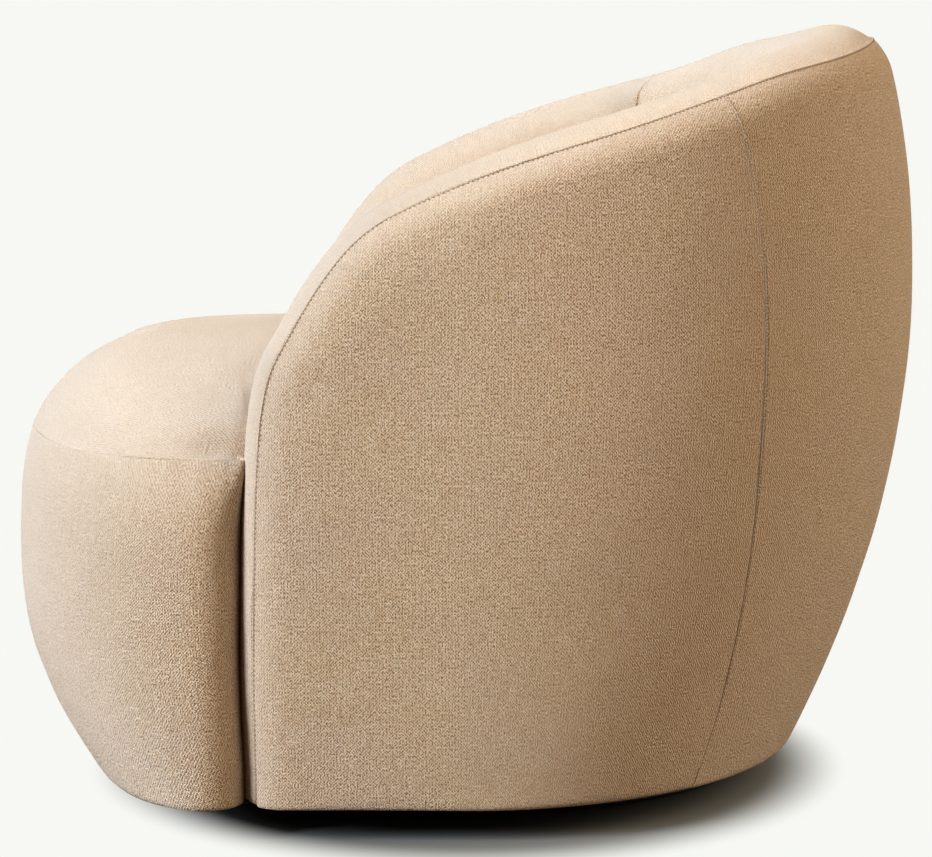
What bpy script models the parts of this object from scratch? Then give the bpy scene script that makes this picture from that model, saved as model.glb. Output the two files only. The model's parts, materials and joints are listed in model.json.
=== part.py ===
# Swivel armchair: an upholstered barrel shell and a full-width seat on a hidden swivel and a round plinth.
# Metres, +Z up. The origin is on the floor under the swivel axis, +X is the sitter's left and -Y the front.

import math

import bmesh
import bpy
from mathutils import Vector

# Fits
TOUCH_GAP = 0.0003
FACET_GAP = 0.0026
SEAT_CLEARANCE = 0.003

# Swivel and plinth, from the floor up
GLIDE_RADIUS = 0.016
GLIDE_HEIGHT = 0.003
GLIDE_COUNT = 4
GLIDE_MARGIN = 0.024
PLINTH_RADIUS = 0.275
PLINTH_THICKNESS = 0.018
PLINTH_BEVEL = 0.002
PLATE_THICKNESS = 0.0025
PLATE_MARGIN = 0.012
BALL_RADIUS = 0.0025
BALL_COUNT = 6
BALL_CIRCLE = 0.12
CAGE_WIDTH = 0.018
CAGE_THICKNESS = 0.0012
POCKET_CLEARANCE = 0.0004
PIN_RADIUS = 0.008
PIN_HEAD_RADIUS = 0.014
PIN_HEAD_THICKNESS = 0.004
NUT_RADIUS = 0.013
NUT_THICKNESS = 0.008
SCREW_COUNT = 4
SCREW_MARGIN = 0.016
BOLT_OFFSET = 0.008
SCREW_RADIUS = 0.0022
SCREW_HEAD_RADIUS = 0.005
SCREW_HEAD_THICKNESS = 0.0016
SCREW_DEPTH = 0.010

# Bottom board and the timber frame
DECK_THICKNESS = 0.015
NOTCH_DEPTH = 0.018
SKIRT_DROP = 0.0025
DUST_COVER_THICKNESS = 0.001
DUST_COVER_MARGIN = 0.012
CAVITY_DEPTH = 0.067
RIB_THICKNESS = 0.018
RAIL_WIDTH = 0.028
RAIL_HEIGHT = 0.025
RAIL_CLEARANCE = 0.002
POST_BELOW_TOP = 0.365
ARM_RIB_Y = -0.030
REAR_RIB_ANGLE = math.radians(38.0)
BACK_RIB_ANGLE = math.radians(64.0)

# Shell: outer plan is straight arms and half an ellipse, bulging with height
SHELL_HALF_WIDTH = 0.430
SHELL_WIDEST_AT = 0.450
SIDE_BULGE = 0.171
BACK_REACH = 0.4312
BACK_WIDEST_AT = 0.479
BACK_BULGE = 0.572
ARM_WALL_AT_SEAT = 0.130
ARM_WALL_AT_TOP = 0.115
BACK_WALL_AT_SEAT = 0.206
BACK_WALL_AT_TOP = 0.133
WALL_TAPER_FROM = 0.440
WALL_TAPER_TO = 0.640
CREST_INSET_ARM = 0.0625
CREST_INSET_BACK = 0.0450
CREST_ROUND = 0.046
OUTER_SEAM_ANGLE = math.radians(48.0)
REAR_SEAM_ANGLE = math.radians(39.7)
ARM_FRONT = -0.199
BACK_TOP = 0.723
ARC_SCALE = 0.40

# Crest line: behind the arm's front and below the back's top, then by plan angle in degrees
ARM_CORNER = ((0.000, 0.523), (0.009, 0.333), (0.039, 0.2535), (0.0945, 0.175), (0.1635, 0.133))
BACK_RISE = ((12.0, 0.090), (38.0, 0.0466), (57.0, 0.0185), (90.0, 0.000))
CORNER_BEHIND_FRONT = 0.060
# The rounding turns from straight in at the arm's front to straight down behind it
TURN_BEHIND_FRONT = 0.080
TURN_ENDS_AT = 0.100

# Covers and foams
PANEL_THICKNESS = 0.005
COVER_THICKNESS = 0.003
CREST_FOAM = 0.030

# Seat: a front as wide as the shell, and a stem between the arms
SEAT_CROWN = 0.427
SEAT_SHOULDER = 0.218
SEAT_PAD = 0.150
SEAM_BELOW_CROWN = 0.083
SEAT_SIDE_STEP = 0.015
SEAT_DEPTH_FRONT = 0.2318
SEAT_FRONT_BULGE = 2.36
SEAT_SIDE_BULGE = 0.263
SEAT_FALL_LENGTH = 0.620
SEAT_PLAN_POWER = 2.15
DOME_PLAN_POWER = 3.07
DOME_RISE_POWER = 3.72
DOME_HUB_AHEAD = 0.070
EAR_CORNER = 0.018
EAR_RETURN = 0.045
FRONT_FOAM = 0.030
BOARD_THICKNESS = 0.015
SIDE_BOARD_MARGIN = 0.012
SPRING_COUNT = 5
SPRING_PITCH = 0.095
SPRING_WIRE = 0.0022
SPRING_HALF_WIDTH = 0.020
SPRING_WAVES = 11
FELT_THICKNESS = 0.010
FELT_MARGIN = 0.006

# Mesh counts
CURVE_STEPS = 24
CREST_SAMPLES = 120
FRONT_STEPS = 8
TOP_STEPS = 10
BACK_STEPS = 6
CREST_ROW_COUNT = 6
PANEL_ROW_COUNT = 2
FRONT_ARC_STEPS = 20
STEM_ARC_STEPS = 8
EAR_STEPS = 3
LOW_STEPS = 4
DOME_SHARES = (0.93, 0.80, 0.60, 0.35)
DECK_ARC_STEPS = 24
DECK_CORNER_STEPS = 4
BOARD_STEPS = 16
RIB_LEVELS = 9
RAIL_STEPS = 16
ROUND_SIDES = 48
SMALL_SIDES = 16
SMOOTH_BELOW = math.radians(40.0)

# Heights that follow from the stack
PLINTH_BOTTOM = GLIDE_HEIGHT + TOUCH_GAP
PLINTH_TOP = PLINTH_BOTTOM + PLINTH_THICKNESS
LOWER_PLATE_BOTTOM = PLINTH_TOP + TOUCH_GAP
LOWER_PLATE_TOP = LOWER_PLATE_BOTTOM + PLATE_THICKNESS
BALL_CENTRE = LOWER_PLATE_TOP + TOUCH_GAP + BALL_RADIUS
UPPER_PLATE_BOTTOM = BALL_CENTRE + BALL_RADIUS + TOUCH_GAP
UPPER_PLATE_TOP = UPPER_PLATE_BOTTOM + PLATE_THICKNESS
DECK_BOTTOM = UPPER_PLATE_TOP + TOUCH_GAP
DECK_TOP = DECK_BOTTOM + DECK_THICKNESS
FABRIC_BOTTOM = DECK_BOTTOM - SKIRT_DROP
FRAME_BOTTOM = DECK_TOP + TOUCH_GAP
SEAT_WIDEST_AT = SEAT_CROWN - SEAT_SHOULDER
SEAT_SEAM_HEIGHT = SEAT_CROWN - SEAM_BELOW_CROWN
SEAT_FOAM_BOTTOM = SEAT_CROWN - SEAT_PAD
SPRING_CENTRE = SEAT_FOAM_BOTTOM - FELT_THICKNESS - SPRING_WIRE - 2 * TOUCH_GAP
BOARD_TOP = SPRING_CENTRE - SPRING_WIRE - TOUCH_GAP

# Radii and plan sizes that follow
SCREW_CIRCLE = BALL_CIRCLE + CAGE_WIDTH / 2 + SCREW_HEAD_RADIUS + SCREW_MARGIN
BOLT_CIRCLE = SCREW_CIRCLE + BOLT_OFFSET
PLATE_RADIUS = BOLT_CIRCLE + SCREW_HEAD_RADIUS + PLATE_MARGIN
GLIDE_CIRCLE = PLINTH_RADIUS - GLIDE_RADIUS - GLIDE_MARGIN
SCREW_HOLE = SCREW_RADIUS + TOUCH_GAP
PIN_HOLE = PIN_RADIUS + TOUCH_GAP
COVER_INSET = COVER_THICKNESS + TOUCH_GAP
FOAM_BACK_INSET = COVER_INSET + CREST_FOAM
RIB_INSET = PANEL_THICKNESS + FACET_GAP
RAIL_TOP_DEPTH = CREST_ROUND + RAIL_CLEARANCE
RAIL_BOTTOM_DEPTH = RAIL_TOP_DEPTH + RAIL_HEIGHT
POST_TOP = BACK_TOP - POST_BELOW_TOP
EAR_BACK = ARM_FRONT - 2 * TOUCH_GAP
SEAT_CENTRE_Y = EAR_BACK - EAR_CORNER
SEAT_HALF_WIDTH = SHELL_HALF_WIDTH - SEAT_SIDE_STEP
SEAT_FRONT_LENGTH = SEAT_DEPTH_FRONT - EAR_CORNER
STEM_HALF_WIDTH = SHELL_HALF_WIDTH - ARM_WALL_AT_SEAT - SEAT_CLEARANCE
STEM_BACK = BACK_REACH - BACK_WALL_AT_SEAT - SEAT_CLEARANCE
SIDE_BOARD_X = STEM_HALF_WIDTH - SIDE_BOARD_MARGIN


def clear_scene():
    for item in list(bpy.data.objects):
        bpy.data.objects.remove(item, do_unlink=True)


def make_material(name, colour, roughness, metallic=0.0):
    material = bpy.data.materials.new(name)
    material.use_nodes = True
    shader = material.node_tree.nodes["Principled BSDF"]
    shader.inputs["Base Color"].default_value = (*colour, 1.0)
    shader.inputs["Roughness"].default_value = roughness
    shader.inputs["Metallic"].default_value = metallic
    material.diffuse_color = (*colour, 1.0)
    return material


clear_scene()

LINEN = (0.55, 0.38, 0.23)
FOAM = (0.80, 0.76, 0.62)
PLYWOOD = (0.58, 0.42, 0.25)
STEEL = (0.55, 0.55, 0.56)
BLACK = (0.012, 0.012, 0.012)
FELT_GREY = (0.30, 0.30, 0.29)
FINISHES = {
    "linen": (LINEN, 0.95, 0.0),
    "foam": (FOAM, 0.90, 0.0),
    "plywood": (PLYWOOD, 0.60, 0.0),
    "steel": (STEEL, 0.35, 1.0),
    "black": (BLACK, 0.55, 0.0),
    "felt": (FELT_GREY, 0.95, 0.0),
}

# Empties on the swivel axis carry the two turning bodies
chair_axis = bpy.data.objects.new("chair_axis", None)
cage_axis = bpy.data.objects.new("cage_axis", None)
bpy.context.collection.objects.link(chair_axis)
bpy.context.collection.objects.link(cage_axis)


def add_object(name, data, finish, parent=None, location=(0.0, 0.0, 0.0)):
    item = bpy.data.objects.new(name, data)
    bpy.context.collection.objects.link(item)
    item.location = location
    item.parent = parent
    if not data.materials:
        data.materials.append(make_material(name, *FINISHES[finish]))
    return item


def finish_mesh(name, mesh_builder, rounded=False):
    bmesh.ops.recalc_face_normals(mesh_builder, faces=mesh_builder.faces[:])
    mesh = bpy.data.meshes.new(name)
    mesh_builder.to_mesh(mesh)
    mesh_builder.free()
    if rounded:
        mesh.shade_smooth()
        mesh.set_sharp_from_angle(angle=SMOOTH_BELOW)
    return mesh


def smooth_step(value, start, end):
    part = min(max((value - start) / (end - start), 0.0), 1.0)
    return part * part * (3.0 - 2.0 * part)


def curve_through(points, steps):
    # Catmull-Rom curve through the points, with its ends reflected
    first = 2 * points[0] - points[1]
    last = 2 * points[-1] - points[-2]
    knots = [first, *points, last]
    curve = []
    for index in range(1, len(knots) - 2):
        before, start, end, after = knots[index - 1:index + 3]
        for step in range(steps):
            part = step / steps
            slope_in = (end - before) / 2
            slope_out = (after - start) / 2
            curve.append(
                start * (2 * part**3 - 3 * part**2 + 1)
                + slope_in * (part**3 - 2 * part**2 + part)
                + end * (3 * part**2 - 2 * part**3)
                + slope_out * (part**3 - part**2)
            )
    curve.append(points[-1])
    return curve


# Outer faces of the shell at a height, and the wall's thickness there
def half_width(height):
    return SHELL_HALF_WIDTH - SIDE_BULGE * (height - SHELL_WIDEST_AT) ** 2


def back_reach(height):
    return BACK_REACH - BACK_BULGE * (height - BACK_WIDEST_AT) ** 2


def inner_half_width(height):
    taper = smooth_step(height, WALL_TAPER_FROM, WALL_TAPER_TO)
    return SHELL_HALF_WIDTH - ARM_WALL_AT_SEAT + taper * (ARM_WALL_AT_SEAT - ARM_WALL_AT_TOP)


def inner_back_reach(height):
    taper = smooth_step(height, WALL_TAPER_FROM, WALL_TAPER_TO)
    return BACK_REACH - BACK_WALL_AT_SEAT + taper * (BACK_WALL_AT_SEAT - BACK_WALL_AT_TOP)


def shell_point(along, height, arm_inset, back_inset):
    # along is the y of a point on an arm, and past the axis the arc round the back
    if along <= 0.0:
        return Vector((half_width(height) - arm_inset, along, height))
    angle = along / ARC_SCALE
    return Vector((
        (half_width(height) - arm_inset) * math.cos(angle),
        (back_reach(height) - back_inset) * math.sin(angle),
        height,
    ))


def crest_line():
    corner = [Vector((ARM_FRONT + behind, BACK_TOP - drop)) for behind, drop in ARM_CORNER]
    rise = [Vector((math.radians(angle) * ARC_SCALE, BACK_TOP - drop)) for angle, drop in BACK_RISE]
    centre = rise[-1]
    mirrored = Vector((2 * centre.x - rise[-2].x, rise[-2].y))
    foot = Vector((ARM_FRONT, FABRIC_BOTTOM))
    line = curve_through([foot, *corner, *rise, mirrored], CURVE_STEPS)
    return [point for point in line if point.x <= centre.x + 1e-6]


CREST = crest_line()
CREST_LENGTHS = [0.0]
for start, end in zip(CREST, CREST[1:]):
    CREST_LENGTHS.append(CREST_LENGTHS[-1] + (end - start).length)


def crest_at(length):
    index = 1
    while index < len(CREST) - 1 and CREST_LENGTHS[index] < length:
        index += 1
    span = CREST_LENGTHS[index] - CREST_LENGTHS[index - 1]
    part = (length - CREST_LENGTHS[index - 1]) / span
    point = CREST[index - 1].lerp(CREST[index], part)
    tangent = (CREST[index] - CREST[index - 1]).normalized()
    inward = Vector((tangent.y, -tangent.x))
    inward.x *= 1.0 - smooth_step(point.x, ARM_FRONT + TURN_BEHIND_FRONT, TURN_ENDS_AT)
    return point, inward.normalized()


def length_where(column, value):
    for index in range(1, len(CREST)):
        if CREST[index][column] >= value:
            before = CREST[index - 1][column]
            part = (value - before) / (CREST[index][column] - before)
            return CREST_LENGTHS[index - 1] + part * (CREST_LENGTHS[index] - CREST_LENGTHS[index - 1])
    return CREST_LENGTHS[-1]


CORNER_LENGTH = length_where(0, ARM_FRONT + CORNER_BEHIND_FRONT)
REAR_SEAM_ALONG = REAR_SEAM_ANGLE * ARC_SCALE
BACK_CENTRE_ALONG = math.radians(90.0) * ARC_SCALE
SEAM_LENGTH = length_where(0, REAR_SEAM_ALONG)


def side_stations(rear_shift):
    # Crest stations from the arm's foot round its corner and back to the rear seam
    stations = []
    for step in range(FRONT_STEPS):
        part = step / FRONT_STEPS
        stations.append(crest_at(CORNER_LENGTH * (1 - (1 - part) ** 1.4)))
    for step in range(TOP_STEPS + 1):
        part = (step / TOP_STEPS) ** 1.2
        stations.append(crest_at(CORNER_LENGTH + part * (SEAM_LENGTH - CORNER_LENGTH)))
    last = Vector((REAR_SEAM_ALONG - rear_shift, stations[-1][0].y))
    stations[-1] = (last, Vector((0.0, -1.0)))
    return stations


def back_stations(shift):
    # From one rear seam across the back to the other
    half = []
    for step in range(BACK_STEPS + 1):
        along = REAR_SEAM_ALONG + shift + (BACK_CENTRE_ALONG - REAR_SEAM_ALONG - shift) * step / BACK_STEPS
        half.append(Vector((along, crest_at(length_where(0, along))[0].y)))
    half[0].y = crest_at(SEAM_LENGTH)[0].y
    other = [Vector((2 * BACK_CENTRE_ALONG - point.x, point.y)) for point in reversed(half[:-1])]
    return [(point, Vector((0.0, -1.0))) for point in half + other]


def wall_point(station, angle, inset):
    # A point of the rounded edge: angle 0 on the crest, positive outside, negative inside
    point, inward = station
    edge_inset = min(inset, FOAM_BACK_INSET)
    depth = edge_inset + (CREST_ROUND - edge_inset) * (1 - math.cos(angle))
    place = point + inward * depth
    return wall_place(place.x, place.y, angle, inset)


def wall_place(along, height, angle, inset):
    if angle >= 0.0:
        edge_inset = min(inset, FOAM_BACK_INSET)
        arm = CREST_INSET_ARM - (CREST_INSET_ARM - edge_inset) * math.sin(angle)
        back = CREST_INSET_BACK - (CREST_INSET_BACK - edge_inset) * math.sin(angle)
        return shell_point(along, height, arm, back)
    if inset >= FOAM_BACK_INSET:
        arm_deep = CAVITY_DEPTH
        back_deep = CAVITY_DEPTH
    else:
        arm_deep = half_width(height) - inner_half_width(height) - inset
        back_deep = back_reach(height) - inner_back_reach(height) - inset
    share = math.sin(-angle)
    arm = CREST_INSET_ARM + (arm_deep - CREST_INSET_ARM) * share
    back = CREST_INSET_BACK + (back_deep - CREST_INSET_BACK) * share
    return shell_point(along, height, arm, back)


OUTER_ANGLE = math.radians(90.0)
INNER_ANGLE = math.radians(-90.0)
SEAM_HALF_GAP = TOUCH_GAP / CREST_ROUND


def row_shares():
    # The heights of all rows of the walls, as shares between the bottom and the rounded edge
    heights = [point.y for point, inward in side_stations(0.0)[:FRONT_STEPS + 1]]
    return [(height - heights[0]) / (heights[-1] - heights[0]) for height in heights]


ROW_SHARES = row_shares()


def patch_places(stations, angle, inset, bottom):
    # Sheet places of the wall below its rounded edge, between that edge and the bottom
    rim = []
    edge_inset = min(inset, FOAM_BACK_INSET)
    for point, inward in stations:
        rim.append(point + inward * (edge_inset + (CREST_ROUND - edge_inset) * (1 - math.cos(angle))))
    front = rim[:FRONT_STEPS + 1]
    top = rim[FRONT_STEPS:]
    front[0] = Vector((front[0].x, bottom))
    rear_along = top[-1].x
    rows = []
    for low in range(FRONT_STEPS + 1):
        v = ROW_SHARES[low]
        row = []
        for column in range(TOP_STEPS + 1):
            u = (top[column].x - top[0].x) / (top[-1].x - top[0].x)
            bottom_point = Vector((front[0].x + (rear_along - front[0].x) * u, bottom))
            rear_point = Vector((rear_along, bottom + (top[-1].y - bottom) * v))
            place = bottom_point * (1 - v) + top[column] * v + front[low] * (1 - u) + rear_point * u
            place -= front[0] * (1 - u) * (1 - v) + Vector((rear_along, bottom)) * u * (1 - v)
            place -= front[-1] * (1 - u) * v + top[-1] * u * v
            row.append(place)
        rows.append(row)
    return rows


class Skin:
    """Two matching layers of points that close into one solid."""

    def __init__(self):
        self.outer = []
        self.inner = []
        self.faces = []

    def add(self, outer, inner):
        self.outer.append(outer)
        self.inner.append(inner)
        return len(self.outer) - 1

    def grid(self, rows):
        for lower, upper in zip(rows, rows[1:]):
            for column in range(len(lower) - 1):
                corners = (lower[column], lower[column + 1], upper[column + 1], upper[column])
                self.faces.append(corners)

    def mesh(self, name, side=1.0):
        build = bmesh.new()
        flip = Vector((side, 1.0, 1.0))
        outer = [build.verts.new(point * flip) for point in self.outer]
        inner = [build.verts.new(point * flip) for point in self.inner]
        edges = {}
        for corners in self.faces:
            # Both layers split each face along the same diagonal, so that nested layers never cross
            for third in range(2, len(corners)):
                triangle = (corners[0], corners[third - 1], corners[third])
                build.faces.new([outer[corner] for corner in triangle])
                build.faces.new([inner[corner] for corner in reversed(triangle)])
            for start, end in zip(corners, corners[1:] + corners[:1]):
                edge = (min(start, end), max(start, end))
                edges[edge] = edges.get(edge, 0) + 1
        for edge, uses in edges.items():
            if uses == 1:
                low, high = sorted(edge, key=lambda corner: self.outer[corner].z)
                build.faces.new((outer[high], outer[low], inner[low]))
                build.faces.new((outer[high], inner[low], inner[high]))
        return finish_mesh(name, build, True)


def wall_skin(skin, stations, angles, insets, feet=None):
    # The rounded edge as rows over the stations; feet are its lowest heights outside and inside
    outer_inset, inner_inset = insets
    rows = []
    for angle in angles:
        row = []
        for index, station in enumerate(stations):
            outer = wall_point(station, angle, outer_inset)
            inner = wall_point(station, angle, inner_inset)
            if feet and index == 0:
                foot = feet[0] if angle >= 0.0 else feet[1]
                outer.z = foot
                inner.z = foot
            row.append(skin.add(outer, inner))
        rows.append(row)
    skin.grid(rows)
    return rows


def side_patch(skin, rim, stations, angle, insets, bottom):
    outer_places = patch_places(stations, angle, insets[0], bottom)
    inner_places = patch_places(stations, angle, insets[1], bottom)
    rows = []
    for low in range(FRONT_STEPS + 1):
        row = []
        for column in range(TOP_STEPS + 1):
            if column == 0:
                row.append(rim[low])
            elif low == FRONT_STEPS:
                row.append(rim[FRONT_STEPS + column])
            else:
                outer = outer_places[low][column]
                inner = inner_places[low][column]
                row.append(skin.add(
                    wall_place(outer.x, outer.y, angle, insets[0]),
                    wall_place(inner.x, inner.y, angle, insets[1]),
                ))
        rows.append(row)
    skin.grid(rows)
    return rows


def back_patch(skin, rim, stations, angle, insets, bottom):
    rows = [rim]
    for low in range(1, FRONT_STEPS + 1):
        row = []
        for point, inward in stations:
            layers = []
            for inset in insets:
                edge_inset = min(inset, FOAM_BACK_INSET)
                top = point.y - edge_inset - (CREST_ROUND - edge_inset) * (1 - math.cos(angle))
                height = bottom + (top - bottom) * ROW_SHARES[FRONT_STEPS - low]
                layers.append(wall_place(point.x, height, angle, inset))
            row.append(skin.add(*layers))
        rows.append(row)
    skin.grid(rows)
    return rows


def angle_rows(first, last, count):
    return [first + (last - first) * step / count for step in range(count + 1)]


PANEL_LAYERS = (0.0, PANEL_THICKNESS)
COVER_LAYERS = (0.0, COVER_THICKNESS)
FOAM_LAYERS = (COVER_INSET, FOAM_BACK_INSET)
PANEL_ANGLES = angle_rows(OUTER_SEAM_ANGLE + SEAM_HALF_GAP, OUTER_ANGLE, PANEL_ROW_COUNT)
CREST_ANGLES = angle_rows(OUTER_SEAM_ANGLE - SEAM_HALF_GAP, INNER_ANGLE, CREST_ROW_COUNT)


# Outer panels, from the outer seam down to the bottom edge
def outer_side_panel(side):
    skin = Skin()
    stations = side_stations(TOUCH_GAP / 2)
    feet = (FABRIC_BOTTOM, FABRIC_BOTTOM)
    rows = wall_skin(skin, stations, PANEL_ANGLES, PANEL_LAYERS, feet)
    side_patch(skin, rows[-1], stations, OUTER_ANGLE, PANEL_LAYERS, FABRIC_BOTTOM)
    name = "outer_side_panel_left" if side > 0 else "outer_side_panel_right"
    add_object(name, skin.mesh(name, side), "linen", chair_axis)


def outer_back_panel():
    skin = Skin()
    stations = back_stations(TOUCH_GAP / 2)
    rows = wall_skin(skin, stations, PANEL_ANGLES, PANEL_LAYERS)
    back_patch(skin, rows[-1], stations, OUTER_ANGLE, PANEL_LAYERS, FABRIC_BOTTOM)
    add_object("outer_back_panel", skin.mesh("outer_back_panel"), "linen", chair_axis)


# One cloth lines the arms and the back and rolls over the crest to the outer seam
def inside_cover():
    skin = Skin()
    side = side_stations(0.0)
    back = back_stations(0.0)
    halves = []
    for mirrored in (False, True):
        own = Skin()
        rows = wall_skin(own, side, CREST_ANGLES, COVER_LAYERS, (FABRIC_BOTTOM, FRAME_BOTTOM))
        patch = side_patch(own, rows[-1], side, INNER_ANGLE, COVER_LAYERS, FRAME_BOTTOM)
        flip = Vector((-1.0 if mirrored else 1.0, 1.0, 1.0))
        base = len(skin.outer)
        for outer, inner in zip(own.outer, own.inner):
            skin.add(outer * flip, inner * flip)
        for face in own.faces:
            ring = tuple(base + corner for corner in face)
            skin.faces.append((ring[0], *ring[:0:-1]) if mirrored else ring)
        edge = [base + row[-1] for row in rows] + [base + row[-1] for row in reversed(patch[:-1])]
        halves.append(edge)
    columns = [halves[0]]
    for point, inward in back[1:-1]:
        column = []
        for angle in CREST_ANGLES:
            column.append(skin.add(*(wall_point((point, inward), angle, inset) for inset in COVER_LAYERS)))
        for low in range(1, FRONT_STEPS + 1):
            layers = []
            for inset in COVER_LAYERS:
                top = point.y - CREST_ROUND
                height = FRAME_BOTTOM + (top - FRAME_BOTTOM) * ROW_SHARES[FRONT_STEPS - low]
                layers.append(wall_place(point.x, height, INNER_ANGLE, inset))
            column.append(skin.add(*layers))
        columns.append(column)
    columns.append(halves[1])
    for left, right in zip(columns, columns[1:]):
        for row in range(len(left) - 1):
            skin.faces.append((left[row], right[row], right[row + 1], left[row + 1]))
    add_object("inside_cover", skin.mesh("inside_cover"), "linen", chair_axis)


def arm_foam(side):
    skin = Skin()
    stations = side_stations(TOUCH_GAP / 2)
    rows = wall_skin(skin, stations, CREST_ANGLES, FOAM_LAYERS, (FRAME_BOTTOM, FRAME_BOTTOM))
    side_patch(skin, rows[-1], stations, INNER_ANGLE, FOAM_LAYERS, FRAME_BOTTOM)
    name = "arm_foam_left" if side > 0 else "arm_foam_right"
    add_object(name, skin.mesh(name, side), "foam", chair_axis)


def back_foam():
    skin = Skin()
    stations = back_stations(TOUCH_GAP / 2)
    rows = wall_skin(skin, stations, CREST_ANGLES, FOAM_LAYERS)
    back_patch(skin, rows[-1], stations, INNER_ANGLE, FOAM_LAYERS, FRAME_BOTTOM)
    add_object("back_foam", skin.mesh("back_foam"), "foam", chair_axis)


for side in (1.0, -1.0):
    outer_side_panel(side)
    arm_foam(side)
outer_back_panel()
back_foam()
inside_cover()


# Seat: each row is an outline of the front, from one ear's return beside the arm round to the other
def half_round(wide, deep, steps):
    points = []
    power = 2 / SEAT_PLAN_POWER
    for step in range(steps + 1):
        angle = math.pi * step / steps
        across = math.copysign(abs(math.cos(angle)) ** power, math.cos(angle)) * wide
        points.append(Vector((across, SEAT_CENTRE_Y - max(math.sin(angle), 0.0) ** power * deep)))
    return points


def ear_edge(wide, inset):
    rear = EAR_BACK - inset
    corner = EAR_CORNER - inset
    points = [Vector((wide - EAR_RETURN, rear))]
    for step in range(EAR_STEPS):
        angle = math.pi / 2 * step / EAR_STEPS
        across = wide - corner * (1 - math.sin(angle))
        points.append(Vector((across, rear - corner * (1 - math.cos(angle)))))
    return points


def front_row(side_in, front_in, scale, inset):
    wide = SEAT_HALF_WIDTH * scale - side_in - inset
    deep = SEAT_FRONT_LENGTH * scale - front_in - inset
    ear = ear_edge(wide, inset)
    other = [Vector((-point.x, point.y)) for point in reversed(ear)]
    return ear + half_round(wide, deep, FRONT_ARC_STEPS) + other


def drawn_in(height):
    # Below its widest height the seat draws in towards the bottom
    low = (height - SEAT_WIDEST_AT) ** 2
    return SEAT_SIDE_BULGE * low, SEAT_FRONT_BULGE * low


def low_row(height, inset):
    return front_row(*drawn_in(height), 1.0, inset)


def scale_at(height):
    # How far the dome has drawn in at a height above the widest
    rise = (height - SEAT_WIDEST_AT) / (SEAT_CROWN - SEAT_WIDEST_AT)
    return (1 - rise ** DOME_RISE_POWER) ** (1 / DOME_PLAN_POWER)


def dome_height(place, inset):
    length = SEAT_FRONT_LENGTH if place.y < SEAT_CENTRE_Y else SEAT_FALL_LENGTH
    across = abs(place.x) / (SEAT_HALF_WIDTH - inset)
    forward = abs(place.y - SEAT_CENTRE_Y) / (length - inset)
    reach = (across ** SEAT_PLAN_POWER + forward ** SEAT_PLAN_POWER) ** (1 / SEAT_PLAN_POWER)
    rise = max(1 - reach ** DOME_PLAN_POWER, 0.0) ** (1 / DOME_RISE_POWER)
    return SEAT_WIDEST_AT + (SEAT_CROWN - inset - SEAT_WIDEST_AT) * rise


def seat_outline(front, inset):
    # The front's row and the stem that runs back between the arms
    stem = STEM_HALF_WIDTH - inset
    rear = STEM_BACK - inset
    outline = [Vector((stem, 0.0)), Vector((stem, EAR_BACK - inset)), *front]
    outline.append(Vector((-stem, EAR_BACK - inset)))
    for step in range(STEM_ARC_STEPS):
        angle = math.pi * (1 - step / STEM_ARC_STEPS)
        outline.append(Vector((stem * math.cos(angle), rear * math.sin(angle))))
    return outline


def raised(outline, inset):
    return [Vector((place.x, place.y, dome_height(place, inset))) for place in outline]


def level(outline, height):
    return [Vector((place.x, place.y, height)) for place in outline]


LOW_HEIGHTS = [FABRIC_BOTTOM]
for step in range(LOW_STEPS + 1):
    LOW_HEIGHTS.append(FRAME_BOTTOM + (SEAT_WIDEST_AT - FRAME_BOTTOM) * step / LOW_STEPS)


def foam_row(height, inset):
    return front_row(0.0, 0.0, scale_at(height), inset)


def seat_side_cover():
    skin = Skin()
    layers = []
    for inset in COVER_LAYERS:
        rows = [level(low_row(height, inset), height) for height in LOW_HEIGHTS]
        rows.append(level(foam_row(SEAT_FOAM_BOTTOM, inset), SEAT_FOAM_BOTTOM))
        top = SEAT_SEAM_HEIGHT - TOUCH_GAP
        seam = front_row(0.0, 0.0, scale_at(top), inset)
        rows.append([place - Vector((0.0, 0.0, TOUCH_GAP)) for place in raised(seam, inset)])
        layers.append(rows)
    grid = []
    for outer_row, inner_row in zip(*layers):
        grid.append([skin.add(outer, inner) for outer, inner in zip(outer_row, inner_row)])
    skin.grid(grid)
    add_object("seat_side_cover", skin.mesh("seat_side_cover"), "linen", chair_axis)


DOME_HUB = Vector((0.0, SEAT_CENTRE_Y - DOME_HUB_AHEAD))


def dome_rings(edge, inset):
    rings = [raised(edge, inset)]
    for share in DOME_SHARES:
        rings.append(raised([DOME_HUB + (place - DOME_HUB) * share for place in edge], inset))
    return rings


def seat_top_cover():
    skin = Skin()
    layers = []
    for inset in COVER_LAYERS:
        seam = front_row(0.0, 0.0, scale_at(SEAT_SEAM_HEIGHT + TOUCH_GAP), inset)
        layers.append(dome_rings(seat_outline(seam, inset), inset))
    grid = []
    for outer_ring, inner_ring in zip(*layers):
        ring = [skin.add(outer, inner) for outer, inner in zip(outer_ring, inner_ring)]
        grid.append(ring + ring[:1])
    skin.grid(grid)
    top = skin.add(*(raised([DOME_HUB], inset)[0] for inset in COVER_LAYERS))
    for start, end in zip(grid[-1], grid[-1][1:]):
        skin.faces.append((start, end, top))
    add_object("seat_top_cover", skin.mesh("seat_top_cover"), "linen", chair_axis)


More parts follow.
